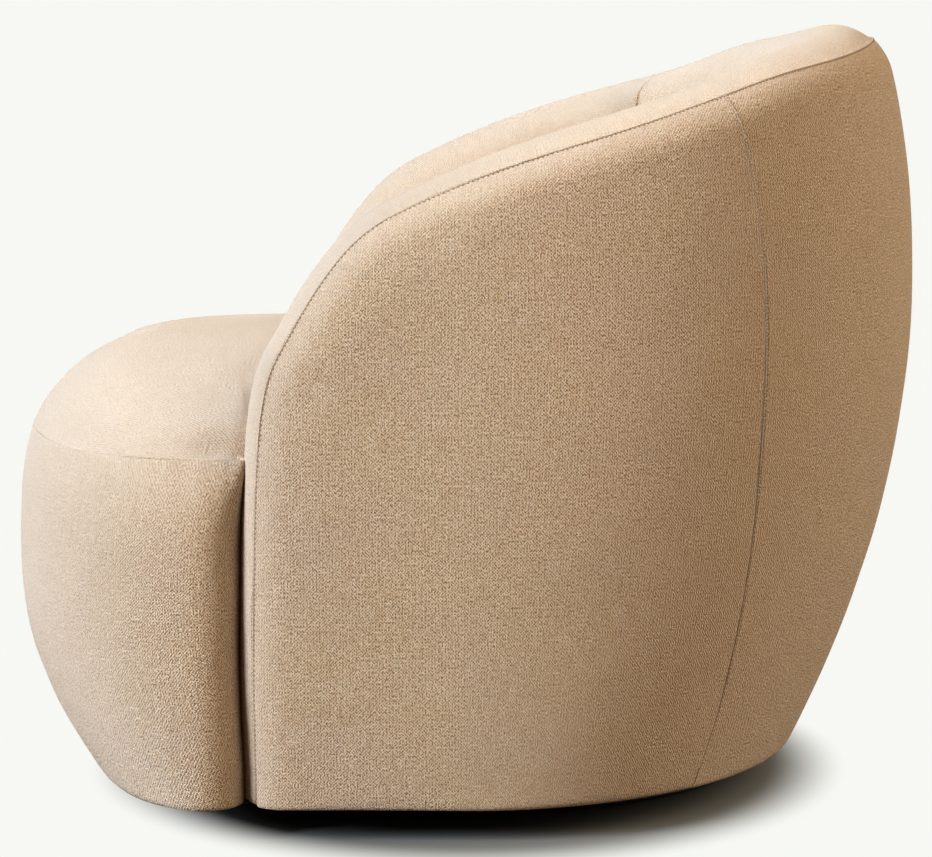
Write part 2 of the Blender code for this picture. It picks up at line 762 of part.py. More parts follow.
def seat_foam():
    build = bmesh.new()
    base = foam_row(SEAT_FOAM_BOTTOM, COVER_INSET)
    seam = front_row(0.0, 0.0, scale_at(SEAT_SEAM_HEIGHT), COVER_INSET)
    rings = [level(seat_outline(base, COVER_INSET), SEAT_FOAM_BOTTOM)]
    rings += dome_rings(seat_outline(seam, COVER_INSET), COVER_INSET)
    rings = [[build.verts.new(place) for place in ring] for ring in rings]
    for lower, upper in zip(rings, rings[1:]):
        for index in range(len(lower)):
            after = (index + 1) % len(lower)
            build.faces.new((lower[index], lower[after], upper[after]))
            build.faces.new((lower[index], upper[after], upper[index]))
    top = build.verts.new(raised([DOME_HUB], COVER_INSET)[0])
    last = rings[-1]
    for index in range(len(last)):
        build.faces.new((last[index], last[(index + 1) % len(last)], top))
    build.faces.new(rings[0][::-1])
    add_object("seat_foam", finish_mesh("seat_foam", build, True), "foam", chair_axis)


BOARD_HALF_WIDTH = SEAT_HALF_WIDTH - drawn_in(FRAME_BOTTOM)[0] - COVER_INSET - FRONT_FOAM
BOARD_DEPTH = SEAT_FRONT_LENGTH - drawn_in(FRAME_BOTTOM)[1] - COVER_INSET - FRONT_FOAM


def board_arc(inward, steps):
    # Half ellipse of the curved front board, at a depth inside the front foam's inner face
    points = []
    for step in range(steps + 1):
        angle = math.pi * step / steps
        across = (BOARD_HALF_WIDTH - inward) * math.cos(angle)
        points.append(Vector((across, SEAT_CENTRE_Y - (BOARD_DEPTH - inward) * math.sin(angle))))
    return points


def front_foam():
    skin = Skin()
    outer_rows = [level(low_row(height, COVER_INSET)[1:-1], height) for height in LOW_HEIGHTS[1:]]
    top = SEAT_FOAM_BOTTOM - TOUCH_GAP
    outer_rows.append(level(foam_row(SEAT_FOAM_BOTTOM, COVER_INSET)[1:-1], top))
    inside = board_arc(0.0, len(outer_rows[0]) - 1)
    inside[0].y = EAR_BACK - COVER_INSET
    inside[-1].y = EAR_BACK - COVER_INSET
    grid = []
    for row in outer_rows:
        height = row[0].z
        grid.append([
            skin.add(outer, Vector((under.x, under.y, height))) for outer, under in zip(row, inside)
        ])
    skin.grid(grid)
    add_object("front_foam", skin.mesh("front_foam"), "foam", chair_axis)


seat_side_cover()
seat_top_cover()
seat_foam()
front_foam()


def plate_mesh(name, outline, bottom, top):
    build = bmesh.new()
    base = build.faces.new([build.verts.new((point.x, point.y, bottom)) for point in outline])
    grown = bmesh.ops.extrude_face_region(build, geom=[base])
    moved = [item for item in grown["geom"] if isinstance(item, bmesh.types.BMVert)]
    bmesh.ops.translate(build, verts=moved, vec=(0.0, 0.0, top - bottom))
    return finish_mesh(name, build)


def disc_mesh(name, radius, bottom, top, sides=ROUND_SIDES):
    build = bmesh.new()
    bmesh.ops.create_cone(
        build, cap_ends=True, segments=sides, radius1=radius, radius2=radius, depth=top - bottom
    )
    bmesh.ops.translate(build, verts=build.verts[:], vec=(0.0, 0.0, (top + bottom) / 2))
    return finish_mesh(name, build, True)


def cut_holes(item, name, holes, bottom, top, sides=SMALL_SIDES):
    # holes are (x, y, radius); one hidden cutter as tall again as the piece takes them all
    build = bmesh.new()
    for across, forward, radius in holes:
        made = bmesh.ops.create_cone(
            build, cap_ends=True, segments=sides, radius1=radius, radius2=radius, depth=2 * (top - bottom)
        )
        bmesh.ops.translate(build, verts=made["verts"], vec=(across, forward, (top + bottom) / 2))
    cutter = add_object(name, finish_mesh(name, build), "steel")
    cutter.hide_render = True
    cutter.display_type = "WIRE"
    cut = item.modifiers.new("holes", "BOOLEAN")
    cut.operation = "DIFFERENCE"
    cut.solver = "EXACT"
    cut.object = cutter


def circle_places(count, radius, turn):
    places = []
    for index in range(count):
        angle = turn + 2 * math.pi * index / count
        places.append((radius * math.cos(angle), radius * math.sin(angle)))
    return places


# Bottom board: it follows the fabric's bottom edge, with a notch between each arm and the seat's ear
def deck_outline(margin, height):
    edge = PANEL_THICKNESS + FACET_GAP + margin
    right = []
    side_in, front_in = drawn_in(FABRIC_BOTTOM)
    arc = half_round(SEAT_HALF_WIDTH - side_in - edge, SEAT_FRONT_LENGTH - front_in - edge, FRONT_ARC_STEPS)
    right += reversed(arc[:FRONT_ARC_STEPS // 2 + 1])
    notch = half_width(height) - CREST_INSET_ARM - NOTCH_DEPTH - margin
    right.append(Vector((notch, EAR_BACK - edge)))
    right.append(Vector((notch, ARM_FRONT + edge)))
    for step in range(1, DECK_CORNER_STEPS + 1):
        angle = OUTER_ANGLE * step / DECK_CORNER_STEPS
        across = half_width(height) - CREST_INSET_ARM + (CREST_INSET_ARM - edge) * math.sin(angle)
        right.append(Vector((across, ARM_FRONT + edge + (CREST_ROUND - edge) * (1 - math.cos(angle)))))
    for step in range(DECK_ARC_STEPS // 2 + 1):
        angle = OUTER_ANGLE * step / (DECK_ARC_STEPS // 2)
        across = (half_width(height) - edge) * math.cos(angle)
        right.append(Vector((across, (back_reach(height) - edge) * math.sin(angle))))
    left = [Vector((-point.x, point.y)) for point in reversed(right[1:-1])]
    return right + left


SCREW_PLACES = circle_places(SCREW_COUNT, SCREW_CIRCLE, math.radians(45.0))
BOLT_PLACES = circle_places(SCREW_COUNT, BOLT_CIRCLE, 0.0)


def base_board():
    mesh = plate_mesh("base_board", deck_outline(0.0, DECK_BOTTOM), DECK_BOTTOM, DECK_TOP)
    board = add_object("base_board", mesh, "plywood", chair_axis)
    holes = [(across, forward, SCREW_HOLE) for across, forward in BOLT_PLACES]
    holes.append((0.0, 0.0, NUT_RADIUS + FACET_GAP))
    cut_holes(board, "base_board_cutter", holes, DECK_BOTTOM, DECK_TOP)


def dust_cover():
    top = DECK_BOTTOM - TOUCH_GAP
    outline = deck_outline(DUST_COVER_MARGIN, DECK_BOTTOM)
    bottom = top - DUST_COVER_THICKNESS
    cloth = add_object("dust_cover", plate_mesh("dust_cover", outline, bottom, top), "black", chair_axis)
    hole = [(0.0, 0.0, PLATE_RADIUS + FACET_GAP)]
    cut_holes(cloth, "dust_cover_cutter", hole, bottom, top, ROUND_SIDES)


base_board()
dust_cover()


# Ribs stand on the board: each is flat, cut to the shell's curve outside and the foam's inside
def plan_distance(direction, offset, wide, deep):
    # How far the shell's plan lies along a direction from the axis, on a line shifted by offset
    cosine = math.cos(direction)
    sine = math.sin(direction)
    start = Vector((-sine * offset, cosine * offset))
    if abs(sine) < 1e-6 and start.y <= 0.0:
        return wide
    a = (cosine / wide) ** 2 + (sine / deep) ** 2
    b = 2 * (start.x * cosine / wide**2 + start.y * sine / deep**2)
    c = (start.x / wide) ** 2 + (start.y / deep) ** 2 - 1
    return (-b + math.sqrt(b * b - 4 * a * c)) / (2 * a)


def height_under_rail(along):
    # The lowest point of the top rail's underside above a place of the plan
    heights = []
    for step in range(CREST_SAMPLES + 1):
        point, inward = crest_at(CREST_LENGTHS[-1] * step / CREST_SAMPLES)
        place = point + inward * RAIL_BOTTOM_DEPTH
        if point.y > BACK_TOP / 2:
            heights.append((place.x, place.y))
    heights.sort()
    for (left, low), (right, high) in zip(heights, heights[1:]):
        if left <= along <= right and right > left:
            return low + (high - low) * (along - left) / (right - left)
    return heights[-1][1]


def along_at(direction, offset):
    if direction == 0.0 and offset <= 0.0:
        return offset
    wide = SHELL_HALF_WIDTH - CREST_INSET_ARM
    deep = BACK_REACH - CREST_INSET_BACK
    distance = plan_distance(direction, offset, wide, deep)
    across = (distance * math.cos(direction) - offset * math.sin(direction)) / wide
    forward = (distance * math.sin(direction) + offset * math.cos(direction)) / deep
    return min(math.atan2(forward, across), math.pi - math.atan2(forward, across)) * ARC_SCALE


def rib(name, direction, offset, side=1.0):
    build = bmesh.new()
    cosine = math.cos(direction)
    sine = math.sin(direction)
    faces = (offset - RIB_THICKNESS / 2, offset + RIB_THICKNESS / 2)
    top = min(height_under_rail(along_at(direction, face)) for face in faces) - TOUCH_GAP - FACET_GAP / 2
    rings = []
    for level in range(RIB_LEVELS):
        height = FRAME_BOTTOM + (top - FRAME_BOTTOM) * level / (RIB_LEVELS - 1)
        ring = []
        for face, insets in ((faces[0], (RIB_INSET, CAVITY_DEPTH - FACET_GAP)),
                             (faces[1], (CAVITY_DEPTH - FACET_GAP, RIB_INSET))):
            for inset in insets:
                distance = plan_distance(direction, face, half_width(height) - inset,
                                         back_reach(height) - inset)
                across = distance * cosine - face * sine
                forward = distance * sine + face * cosine
                ring.append(build.verts.new((side * across, forward, height)))
        rings.append(ring)
    for lower, upper in zip(rings, rings[1:]):
        for corner in range(4):
            after = (corner + 1) % 4
            build.faces.new((lower[corner], lower[after], upper[after], upper[corner]))
    build.faces.new(rings[0][::-1])
    build.faces.new(rings[-1])
    add_object(name, finish_mesh(name, build), "plywood", chair_axis)


def beam(name, stations, side=1.0):
    # A rail under the crest foam: square section, bent along the crest
    build = bmesh.new()
    inner = CAVITY_DEPTH - FACET_GAP
    outer = inner - RAIL_WIDTH
    rings = []
    for point, inward in stations:
        ring = []
        for depth, inset in ((RAIL_TOP_DEPTH, outer), (RAIL_TOP_DEPTH, inner),
                             (RAIL_BOTTOM_DEPTH, inner), (RAIL_BOTTOM_DEPTH, outer)):
            place = point + inward * depth
            corner = shell_point(place.x, place.y, inset, inset)
            corner.x *= side
            ring.append(build.verts.new(corner))
        rings.append(ring)
    for lower, upper in zip(rings, rings[1:]):
        for corner in range(4):
            after = (corner + 1) % 4
            build.faces.new((lower[corner], lower[after], upper[after], upper[corner]))
    build.faces.new(rings[0][::-1])
    build.faces.new(rings[-1])
    add_object(name, finish_mesh(name, build), "plywood", chair_axis)


POST_TOP_LENGTH = length_where(1, POST_TOP)


def rail_stations(start, end, count):
    return [crest_at(start + (end - start) * step / count) for step in range(count + 1)]


def front_post(name, side):
    top = POST_TOP - TOUCH_GAP
    outer = half_width(FRAME_BOTTOM) - RIB_INSET
    inner = half_width(top) - CAVITY_DEPTH + FACET_GAP
    front = ARM_FRONT + RAIL_TOP_DEPTH
    corners = ((outer, front), (inner, front), (inner, front + RAIL_HEIGHT), (outer, front + RAIL_HEIGHT))
    outline = [Vector((side * across, forward)) for across, forward in corners]
    add_object(name, plate_mesh(name, outline, FRAME_BOTTOM, top), "plywood", chair_axis)


def top_rails():
    joint = TOUCH_GAP / 2
    for side, hand in ((1.0, "left"), (-1.0, "right")):
        stations = rail_stations(POST_TOP_LENGTH, SEAM_LENGTH, RAIL_STEPS)
        stations[0] = (stations[0][0], Vector((1.0, 0.0)))
        stations[-1] = (Vector((REAR_SEAM_ALONG - joint, stations[-1][0].y)), Vector((0.0, -1.0)))
        beam("arm_top_rail_" + hand, stations, side)
    beam("back_top_rail", back_stations(joint))


for side, hand in ((1.0, "left"), (-1.0, "right")):
    front_post("arm_front_post_" + hand, side)
    rib("arm_rib_" + hand, 0.0, ARM_RIB_Y, side)
    rib("rear_rib_" + hand, REAR_RIB_ANGLE, 0.0, side)
    rib("back_rib_" + hand, BACK_RIB_ANGLE, 0.0, side)
rib("back_rib_centre", OUTER_ANGLE, 0.0)
top_rails()


# Seat box: four boards on edge under the springs
def board_band(outside, inside):
    return outside + inside[::-1]


def rear_arc(inward, steps):
    points = []
    wide = SIDE_BOARD_X - inward
    deep = wide * STEM_BACK / STEM_HALF_WIDTH - FACET_GAP
    for step in range(steps + 1):
        angle = math.pi * step / steps
        points.append(Vector((wide * math.cos(angle), deep * math.sin(angle))))
    return points


def seat_box():
    outside = board_arc(FACET_GAP, BOARD_STEPS)
    front = board_band(outside, board_arc(FACET_GAP + BOARD_THICKNESS, BOARD_STEPS))
    mesh = plate_mesh("front_board", front, FRAME_BOTTOM, BOARD_TOP)
    add_object("front_board", mesh, "plywood", chair_axis)
    rear = board_band(rear_arc(0.0, BOARD_STEPS), rear_arc(BOARD_THICKNESS, BOARD_STEPS))
    mesh = plate_mesh("rear_board", rear, FRAME_BOTTOM, BOARD_TOP)
    add_object("rear_board", mesh, "plywood", chair_axis)
    front_end = SEAT_CENTRE_Y
    for side, hand in ((1.0, "left"), (-1.0, "right")):
        name = "side_board_" + hand
        inner = SIDE_BOARD_X - BOARD_THICKNESS
        corners = ((SIDE_BOARD_X, -TOUCH_GAP), (inner, -TOUCH_GAP), (inner, front_end),
                   (SIDE_BOARD_X, front_end))
        outline = [Vector((side * across, forward)) for across, forward in corners]
        add_object(name, plate_mesh(name, outline, FRAME_BOTTOM, BOARD_TOP), "plywood", chair_axis)


def ellipse_depth(across, wide, deep):
    return deep * math.sqrt(max(1 - (across / wide) ** 2, 0.0))


def seat_springs():
    half_board = BOARD_THICKNESS / 2
    front_wide = BOARD_HALF_WIDTH - FACET_GAP - half_board
    front_deep = BOARD_DEPTH - FACET_GAP - half_board
    rear_wide = SIDE_BOARD_X - half_board
    rear_deep = rear_wide * STEM_BACK / STEM_HALF_WIDTH - FACET_GAP
    for index in range(SPRING_COUNT):
        middle = (index - (SPRING_COUNT - 1) / 2) * SPRING_PITCH
        front = SEAT_CENTRE_Y - ellipse_depth(middle, front_wide, front_deep)
        rear = ellipse_depth(middle, rear_wide, rear_deep)
        pitch = (rear - front) / (SPRING_WAVES + 1)
        places = [Vector((middle, front)), Vector((middle, front + pitch / 2))]
        for wave in range(SPRING_WAVES):
            across = middle + SPRING_HALF_WIDTH * (1 if wave % 2 else -1)
            for part in (0.75, 1.25):
                places.append(Vector((across, front + pitch * (wave + part))))
        places.append(Vector((middle, rear - pitch / 2)))
        places.append(Vector((middle, rear)))
        curve = bpy.data.curves.new(f"seat_spring_{index + 1}", "CURVE")
        curve.dimensions = "3D"
        curve.bevel_depth = SPRING_WIRE
        curve.bevel_resolution = 0
        curve.use_fill_caps = True
        spline = curve.splines.new("POLY")
        spline.points.add(len(places) - 1)
        for point, place in zip(spline.points, places):
            point.co = (*place, SPRING_CENTRE, 1.0)
        add_object(f"seat_spring_{index + 1}", curve, "steel", chair_axis)


def spring_felt():
    bottom = SPRING_CENTRE + SPRING_WIRE + TOUCH_GAP
    front = board_arc(FELT_MARGIN, BOARD_STEPS)
    rear = rear_arc(FELT_MARGIN, BOARD_STEPS)
    outline = front[::-1] + [Vector((SIDE_BOARD_X - FELT_MARGIN, front[0].y))] + rear
    outline.append(Vector((FELT_MARGIN - SIDE_BOARD_X, front[0].y)))
    mesh = plate_mesh("spring_felt", outline, bottom, SEAT_FOAM_BOTTOM - TOUCH_GAP)
    add_object("spring_felt", mesh, "felt", chair_axis)


seat_box()
seat_springs()
spring_felt()


# Swivel and plinth
def turned_mesh(name, profile, sides=SMALL_SIDES):
    # profile: (radius, height) from the top down, closed on the axis
    build = bmesh.new()
    rings = []
    for radius, height in profile:
        ring = []
        for step in range(sides):
            angle = 2 * math.pi * step / sides
            ring.append(build.verts.new((radius * math.cos(angle), radius * math.sin(angle), height)))
        rings.append(ring)
    for upper, lower in zip(rings, rings[1:]):
        for index in range(sides):
            after = (index + 1) % sides
            build.faces.new((upper[index], upper[after], lower[after], lower[index]))
    build.faces.new(rings[0])
    build.faces.new(rings[-1][::-1])
    return finish_mesh(name, build, True)


def plinth():
    board = add_object("plinth", disc_mesh("plinth", PLINTH_RADIUS, PLINTH_BOTTOM, PLINTH_TOP), "black")
    rounding = board.modifiers.new("edges", "BEVEL")
    rounding.width = PLINTH_BEVEL
    rounding.segments = 2
    rounding.limit_method = "ANGLE"
    holes = [(across, forward, SCREW_HOLE) for across, forward in SCREW_PLACES]
    holes.append((0.0, 0.0, PIN_HEAD_RADIUS + TOUCH_GAP))
    cut_holes(board, "plinth_cutter", holes, PLINTH_BOTTOM, PLINTH_TOP)
    foot = disc_mesh("glide", GLIDE_RADIUS, 0.0, GLIDE_HEIGHT, 20)
    for index, place in enumerate(circle_places(GLIDE_COUNT, GLIDE_CIRCLE, math.radians(45.0))):
        add_object(f"glide_{index + 1}", foot, "felt", location=(*place, 0.0))


def swivel():
    lower = disc_mesh("lower_swivel_plate", PLATE_RADIUS, LOWER_PLATE_BOTTOM, LOWER_PLATE_TOP)
    lower = add_object("lower_swivel_plate", lower, "steel")
    holes = [(across, forward, SCREW_HOLE) for across, forward in SCREW_PLACES]
    holes.append((0.0, 0.0, PIN_HOLE))
    cut_holes(lower, "lower_plate_cutter", holes, LOWER_PLATE_BOTTOM, LOWER_PLATE_TOP)

    upper = disc_mesh("upper_swivel_plate", PLATE_RADIUS, UPPER_PLATE_BOTTOM, UPPER_PLATE_TOP)
    upper = add_object("upper_swivel_plate", upper, "steel", chair_axis)
    holes = [(across, forward, SCREW_HOLE) for across, forward in BOLT_PLACES]
    holes.append((0.0, 0.0, PIN_HOLE))
    cut_holes(upper, "upper_plate_cutter", holes, UPPER_PLATE_BOTTOM, UPPER_PLATE_TOP)

    head_bottom = LOWER_PLATE_TOP + TOUCH_GAP
    screw = turned_mesh("plate_screw", (
        (SCREW_HEAD_RADIUS, head_bottom + SCREW_HEAD_THICKNESS),
        (SCREW_HEAD_RADIUS, head_bottom),
        (SCREW_RADIUS, head_bottom),
        (SCREW_RADIUS, head_bottom - SCREW_DEPTH),
    ), 12)
    for index, place in enumerate(SCREW_PLACES):
        add_object(f"plinth_screw_{index + 1}", screw, "steel", location=(*place, 0.0))

    bolt_top = UPPER_PLATE_BOTTOM - TOUCH_GAP
    bolt = turned_mesh("plate_bolt", (
        (SCREW_RADIUS, DECK_TOP - TOUCH_GAP),
        (SCREW_RADIUS, bolt_top),
        (SCREW_HEAD_RADIUS, bolt_top),
        (SCREW_HEAD_RADIUS, bolt_top - SCREW_HEAD_THICKNESS),
    ), 12)
    for index, place in enumerate(BOLT_PLACES):
        add_object(f"board_bolt_{index + 1}", bolt, "steel", chair_axis, location=(*place, 0.0))


def pivot():
    nut_bottom = UPPER_PLATE_TOP + TOUCH_GAP
    nut_top = nut_bottom + NUT_THICKNESS
    head_top = LOWER_PLATE_BOTTOM - TOUCH_GAP
    pin = turned_mesh("pivot_pin", (
        (PIN_RADIUS, nut_top + TOUCH_GAP),
        (PIN_RADIUS, head_top),
        (PIN_HEAD_RADIUS, head_top),
        (PIN_HEAD_RADIUS, head_top - PIN_HEAD_THICKNESS),
    ))
    add_object("pivot_pin", pin, "steel")
    nut = add_object("pivot_nut", disc_mesh("pivot_nut", NUT_RADIUS, nut_bottom, nut_top, 6), "steel")
    cut_holes(nut, "pivot_nut_cutter", [(0.0, 0.0, PIN_HOLE)], nut_bottom, nut_top)


def ball_cage():
    bottom = BALL_CENTRE - CAGE_THICKNESS / 2
    top = BALL_CENTRE + CAGE_THICKNESS / 2
    ring = disc_mesh("ball_cage", BALL_CIRCLE + CAGE_WIDTH / 2, bottom, top)
    ring = add_object("ball_cage", ring, "steel", cage_axis)
    places = circle_places(BALL_COUNT, BALL_CIRCLE, 0.0)
    holes = [(across, forward, BALL_RADIUS + POCKET_CLEARANCE) for across, forward in places]
    cut_holes(ring, "ball_pocket_cutter", holes, bottom, top)
    bore = [(0.0, 0.0, BALL_CIRCLE - CAGE_WIDTH / 2)]
    cut_holes(ring, "ball_cage_bore_cutter", bore, bottom, top, ROUND_SIDES)
    build = bmesh.new()
    bmesh.ops.create_uvsphere(build, u_segments=10, v_segments=6, radius=BALL_RADIUS)
    ball = finish_mesh("ball", build, True)
    for index, place in enumerate(places):
        add_object(f"bearing_ball_{index + 1}", ball, "steel", cage_axis, location=(*place, BALL_CENTRE))


plinth()
swivel()
pivot()
ball_cage()
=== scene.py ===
# Swivel armchair: a linen barrel shell round a full-width seat, on a hidden swivel and a black plinth
import json
import math

import bmesh
import bpy
import numpy as np
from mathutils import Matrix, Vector, noise


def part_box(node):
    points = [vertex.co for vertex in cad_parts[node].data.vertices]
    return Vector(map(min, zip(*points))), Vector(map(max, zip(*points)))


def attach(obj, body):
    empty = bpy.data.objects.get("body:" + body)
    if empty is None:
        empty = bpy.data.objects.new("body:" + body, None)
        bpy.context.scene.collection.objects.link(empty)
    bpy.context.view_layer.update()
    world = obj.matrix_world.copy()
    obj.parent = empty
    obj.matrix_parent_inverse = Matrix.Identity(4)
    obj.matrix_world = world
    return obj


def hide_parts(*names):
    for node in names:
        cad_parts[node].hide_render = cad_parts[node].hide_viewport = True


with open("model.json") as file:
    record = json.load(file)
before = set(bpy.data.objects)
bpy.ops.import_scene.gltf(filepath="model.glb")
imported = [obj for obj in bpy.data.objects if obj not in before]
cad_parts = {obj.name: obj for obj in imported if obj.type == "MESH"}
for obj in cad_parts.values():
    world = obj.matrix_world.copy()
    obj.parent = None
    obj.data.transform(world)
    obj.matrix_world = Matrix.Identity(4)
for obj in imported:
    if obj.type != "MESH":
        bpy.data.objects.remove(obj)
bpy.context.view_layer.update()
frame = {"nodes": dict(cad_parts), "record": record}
print("frame loaded")

camera = {
    "place": (3.9, 0.074, 0.79),
    "yaw": 1.117,      # degrees turned towards the front
    "pitch": 6.785,    # degrees down
    "lens": 155.4,
    "sensor": 36.0,
    "sees": 300.0,     # metres, past the floor's far edge
}


def addCamera():
    yaw, pitch = math.radians(camera["yaw"]), math.radians(camera["pitch"])
    forward = Vector((-math.cos(yaw) * math.cos(pitch), -math.sin(yaw) * math.cos(pitch), -math.sin(pitch)))
    data = bpy.data.cameras.new("studioCamera")
    data.lens = camera["lens"]
    data.sensor_width = camera["sensor"]
    data.clip_end = camera["sees"]
    item = bpy.data.objects.new("studioCamera", data)
    bpy.context.collection.objects.link(item)
    item.location = camera["place"]
    item.rotation_euler = forward.to_track_quat("-Z", "Y").to_euler()
    bpy.context.scene.camera = item


addCamera()

# The shell in metres: straight arms, half an ellipse round the back, bulging with height
shell = {
    "halfWidth": 0.430,
    "widestAt": 0.450,
    "sideBulge": 0.171,
    "backReach": 0.4312,
    "backWidestAt": 0.479,
    "backBulge": 0.572,
    "innerWide": (0.300, 0.315),     # inside the arms, at the seat and at the top
    "innerDeep": (0.2252, 0.2982),   # inside the back, at the seat and at the top
    "taper": (0.440, 0.640),
    "crestIn": (0.0625, 0.045),      # how far in the crest line lies, on the arm and on the back
    "crestRound": 0.046,
    "rearSeamAngle": 39.7,
    "armFront": -0.199,
    "top": 0.723,
    "bottom": 0.030,
    "arcScale": 0.40,      # radius that turns an angle round the back into a length
    "leanReach": 0.12,
    "coverBottom": 0.0478,
    "armCorner": ((0.0, 0.523), (0.009, 0.333), (0.039, 0.2535), (0.0945, 0.175), (0.1635, 0.133)),
    "backRise": ((12.0, 0.090), (38.0, 0.0466), (57.0, 0.0185), (90.0, 0.0)),
    "cornerBehind": 0.060,
    "crestSteps": 60,      # points of the crest line between two of its knots
    "frontPoints": 400,    # points of it that rise up the arm's front
    "turn": (-0.119, 0.100),
    "spacing": 0.0085,
    "wallHeight": 0.62,
    "coverFoam": 0.026,
    "panelFelt": 0.006,
}
# The cloth's own length round the back over the length by arcScale, outside and inside
panelStretch = 0.43 / shell["arcScale"]
coverStretch = 0.33 / shell["arcScale"]


def smoothStep(value, start, end):
    part = np.clip((value - start) / (end - start), 0.0, 1.0)
    return part * part * (3.0 - 2.0 * part)


def runAlong(points):
    # How far along a line each of its points lies
    return np.concatenate([[0.0], np.cumsum(np.linalg.norm(np.diff(points, axis=0), axis=1))])


def halfWidth(z):
    return shell["halfWidth"] - shell["sideBulge"] * (z - shell["widestAt"]) ** 2


def backReach(z):
    return shell["backReach"] - shell["backBulge"] * (z - shell["backWidestAt"]) ** 2


def tapered(size, z):
    low, high = shell[size]
    return low + smoothStep(z, *shell["taper"]) * (high - low)


def shellPlace(along, z, armIn, backIn):
    # along is y on an arm, and past the axis an angle round the back
    angle = np.maximum(along, 0.0) / shell["arcScale"]
    x = (halfWidth(z) - armIn) * np.cos(angle)
    y = np.where(along > 0.0, (backReach(z) - backIn) * np.sin(angle), along)
    return np.stack([x, y, z], axis=-1)


def wallPlace(along, z, angle, inset):
    # angle 0 is the crest, positive outside and negative inside
    armCrest, backCrest = shell["crestIn"]
    if angle >= 0.0:
        share = math.sin(angle)
        armIn = armCrest - (armCrest - inset) * share
        backIn = backCrest - (backCrest - inset) * share
    else:
        share = math.sin(-angle)
        armIn = armCrest + (halfWidth(z) - tapered("innerWide", z) - inset - armCrest) * share
        backIn = backCrest + (backReach(z) - tapered("innerDeep", z) - inset - backCrest) * share
    return shellPlace(along, z, armIn, backIn)


def crestCurve():
    corner = [(shell["armFront"] + behind, shell["top"] - drop) for behind, drop in shell["armCorner"]]
    rise = [(math.radians(a) * shell["arcScale"], shell["top"] - drop) for a, drop in shell["backRise"]]
    mirrored = (2 * rise[-1][0] - rise[-2][0], rise[-2][1])
    points = [(shell["armFront"], shell["bottom"]), *corner, *rise, mirrored]
    knots = np.array([2 * np.array(points[0]) - points[1], *points, 2 * np.array(points[-1]) - points[-2]])
    t = np.linspace(0.0, 1.0, shell["crestSteps"], endpoint=False)[:, None]
    line = []
    for before, start, end, after in zip(knots, knots[1:], knots[2:], knots[3:]):
        line.append(start * (2 * t**3 - 3 * t**2 + 1) + (end - before) / 2 * (t**3 - 2 * t**2 + t)
                    + end * (3 * t**2 - 2 * t**3) + (after - start) / 2 * (t**3 - t**2))
    line = np.concatenate(line)
    return line[line[:, 0] <= rise[-1][0] + 1e-6]


crest = crestCurve()
crestLength = runAlong(crest)
backCentre = math.radians(90.0) * shell["arcScale"]
rearSeam = math.radians(shell["rearSeamAngle"]) * shell["arcScale"]
turned = np.maximum.accumulate(crest[:, 0] + np.arange(len(crest)) * 1e-9)
cornerLength = float(np.interp(shell["armFront"] + shell["cornerBehind"], turned, crestLength))


def crestAt(lengths):
    # Places on the crest line and the direction into the wall there
    lengths = np.asarray(lengths)
    slope = np.gradient(crest, axis=0)
    slope /= np.linalg.norm(slope, axis=1)[:, None]
    y, z, tx, tz = (np.interp(lengths, crestLength, values) for values in (*crest.T, *slope.T))
    place = np.stack([y, z], 1)
    inward = np.stack([tz * (1.0 - smoothStep(place[:, 0], *shell["turn"])), -tx], 1)
    return place, inward / np.linalg.norm(inward, axis=1)[:, None]


def lengthAt(along):
    return np.interp(along, turned, crestLength)


def crestHeight(along):
    mirrored = np.minimum(along, 2 * backCentre - along)
    return np.interp(mirrored, turned, crest[:, 1])


def crestFront(z):
    # How far forward the arm's front edge stands at a height
    rising = crest[:shell["frontPoints"]]
    return np.interp(z, rising[:, 1], rising[:, 0])


# Height and place along the shell of the rear seam, which stands further round the back at the floor
rearLean = ((0.03, 0.2915), (0.17, 0.2885), (0.28, 0.2830), (0.38, 0.2757), (0.50, 0.2733), (0.57, 0.2688),
            (0.61, 0.2608), (0.657, 0.2490), (0.70, 0.2360))
leanCurve = np.polyfit([z for z, along in rearLean], [along - rearSeam for z, along in rearLean], 4)


def leanRear(along, z):
    mirrored = np.minimum(along, 2 * backCentre - along)
    shift = np.polyval(leanCurve, z) * np.exp(-((mirrored - rearSeam) / shell["leanReach"]) ** 2)
    return along + np.where(along > backCentre, -shift, shift)


def edgeDepth(angle, inset):
    return inset + (shell["crestRound"] - inset) * (1 - math.cos(angle))


def clothPatch(topLengths, angle, bottom):
    # The wall below its rounded edge as a grid of (along, height), between the edge and the bottom
    place, inward = crestAt(np.concatenate([frontLengths, topLengths[1:]]))
    rim = place + inward * edgeDepth(angle, swell["room"])
    front = rim[:len(frontLengths)].copy()
    top = rim[len(frontLengths) - 1:]
    front[0, 1] = bottom
    v = ((front[:, 1] - front[0, 1]) / (front[-1, 1] - front[0, 1]))[:, None, None]
    u = ((top[:, 0] - top[0, 0]) / (top[-1, 0] - top[0, 0]))[None, :, None]
    rear = top[-1, 0]
    low = np.stack([front[0, 0] + (rear - front[0, 0]) * u[0, :, 0], np.full(len(top), bottom)], 1)[None]
    back = np.stack([np.full(len(front), rear), bottom + (top[-1, 1] - bottom) * v[:, 0, 0]], 1)[:, None]
    grid = low * (1 - v) + top[None] * v + front[:, None] * (1 - u) + back * u
    grid -= front[0] * (1 - u) * (1 - v) + np.array([rear, bottom]) * u * (1 - v)
    grid -= front[-1] * (1 - u) * v + top[-1] * u * v
    return grid[:-1, 1:]


def gridFaces(rows):
    rows = np.asarray(rows)
    quads = np.stack([rows[:-1, :-1], rows[:-1, 1:], rows[1:, 1:], rows[1:, :-1]], axis=-1)
    return quads.reshape(-1, 4).tolist()


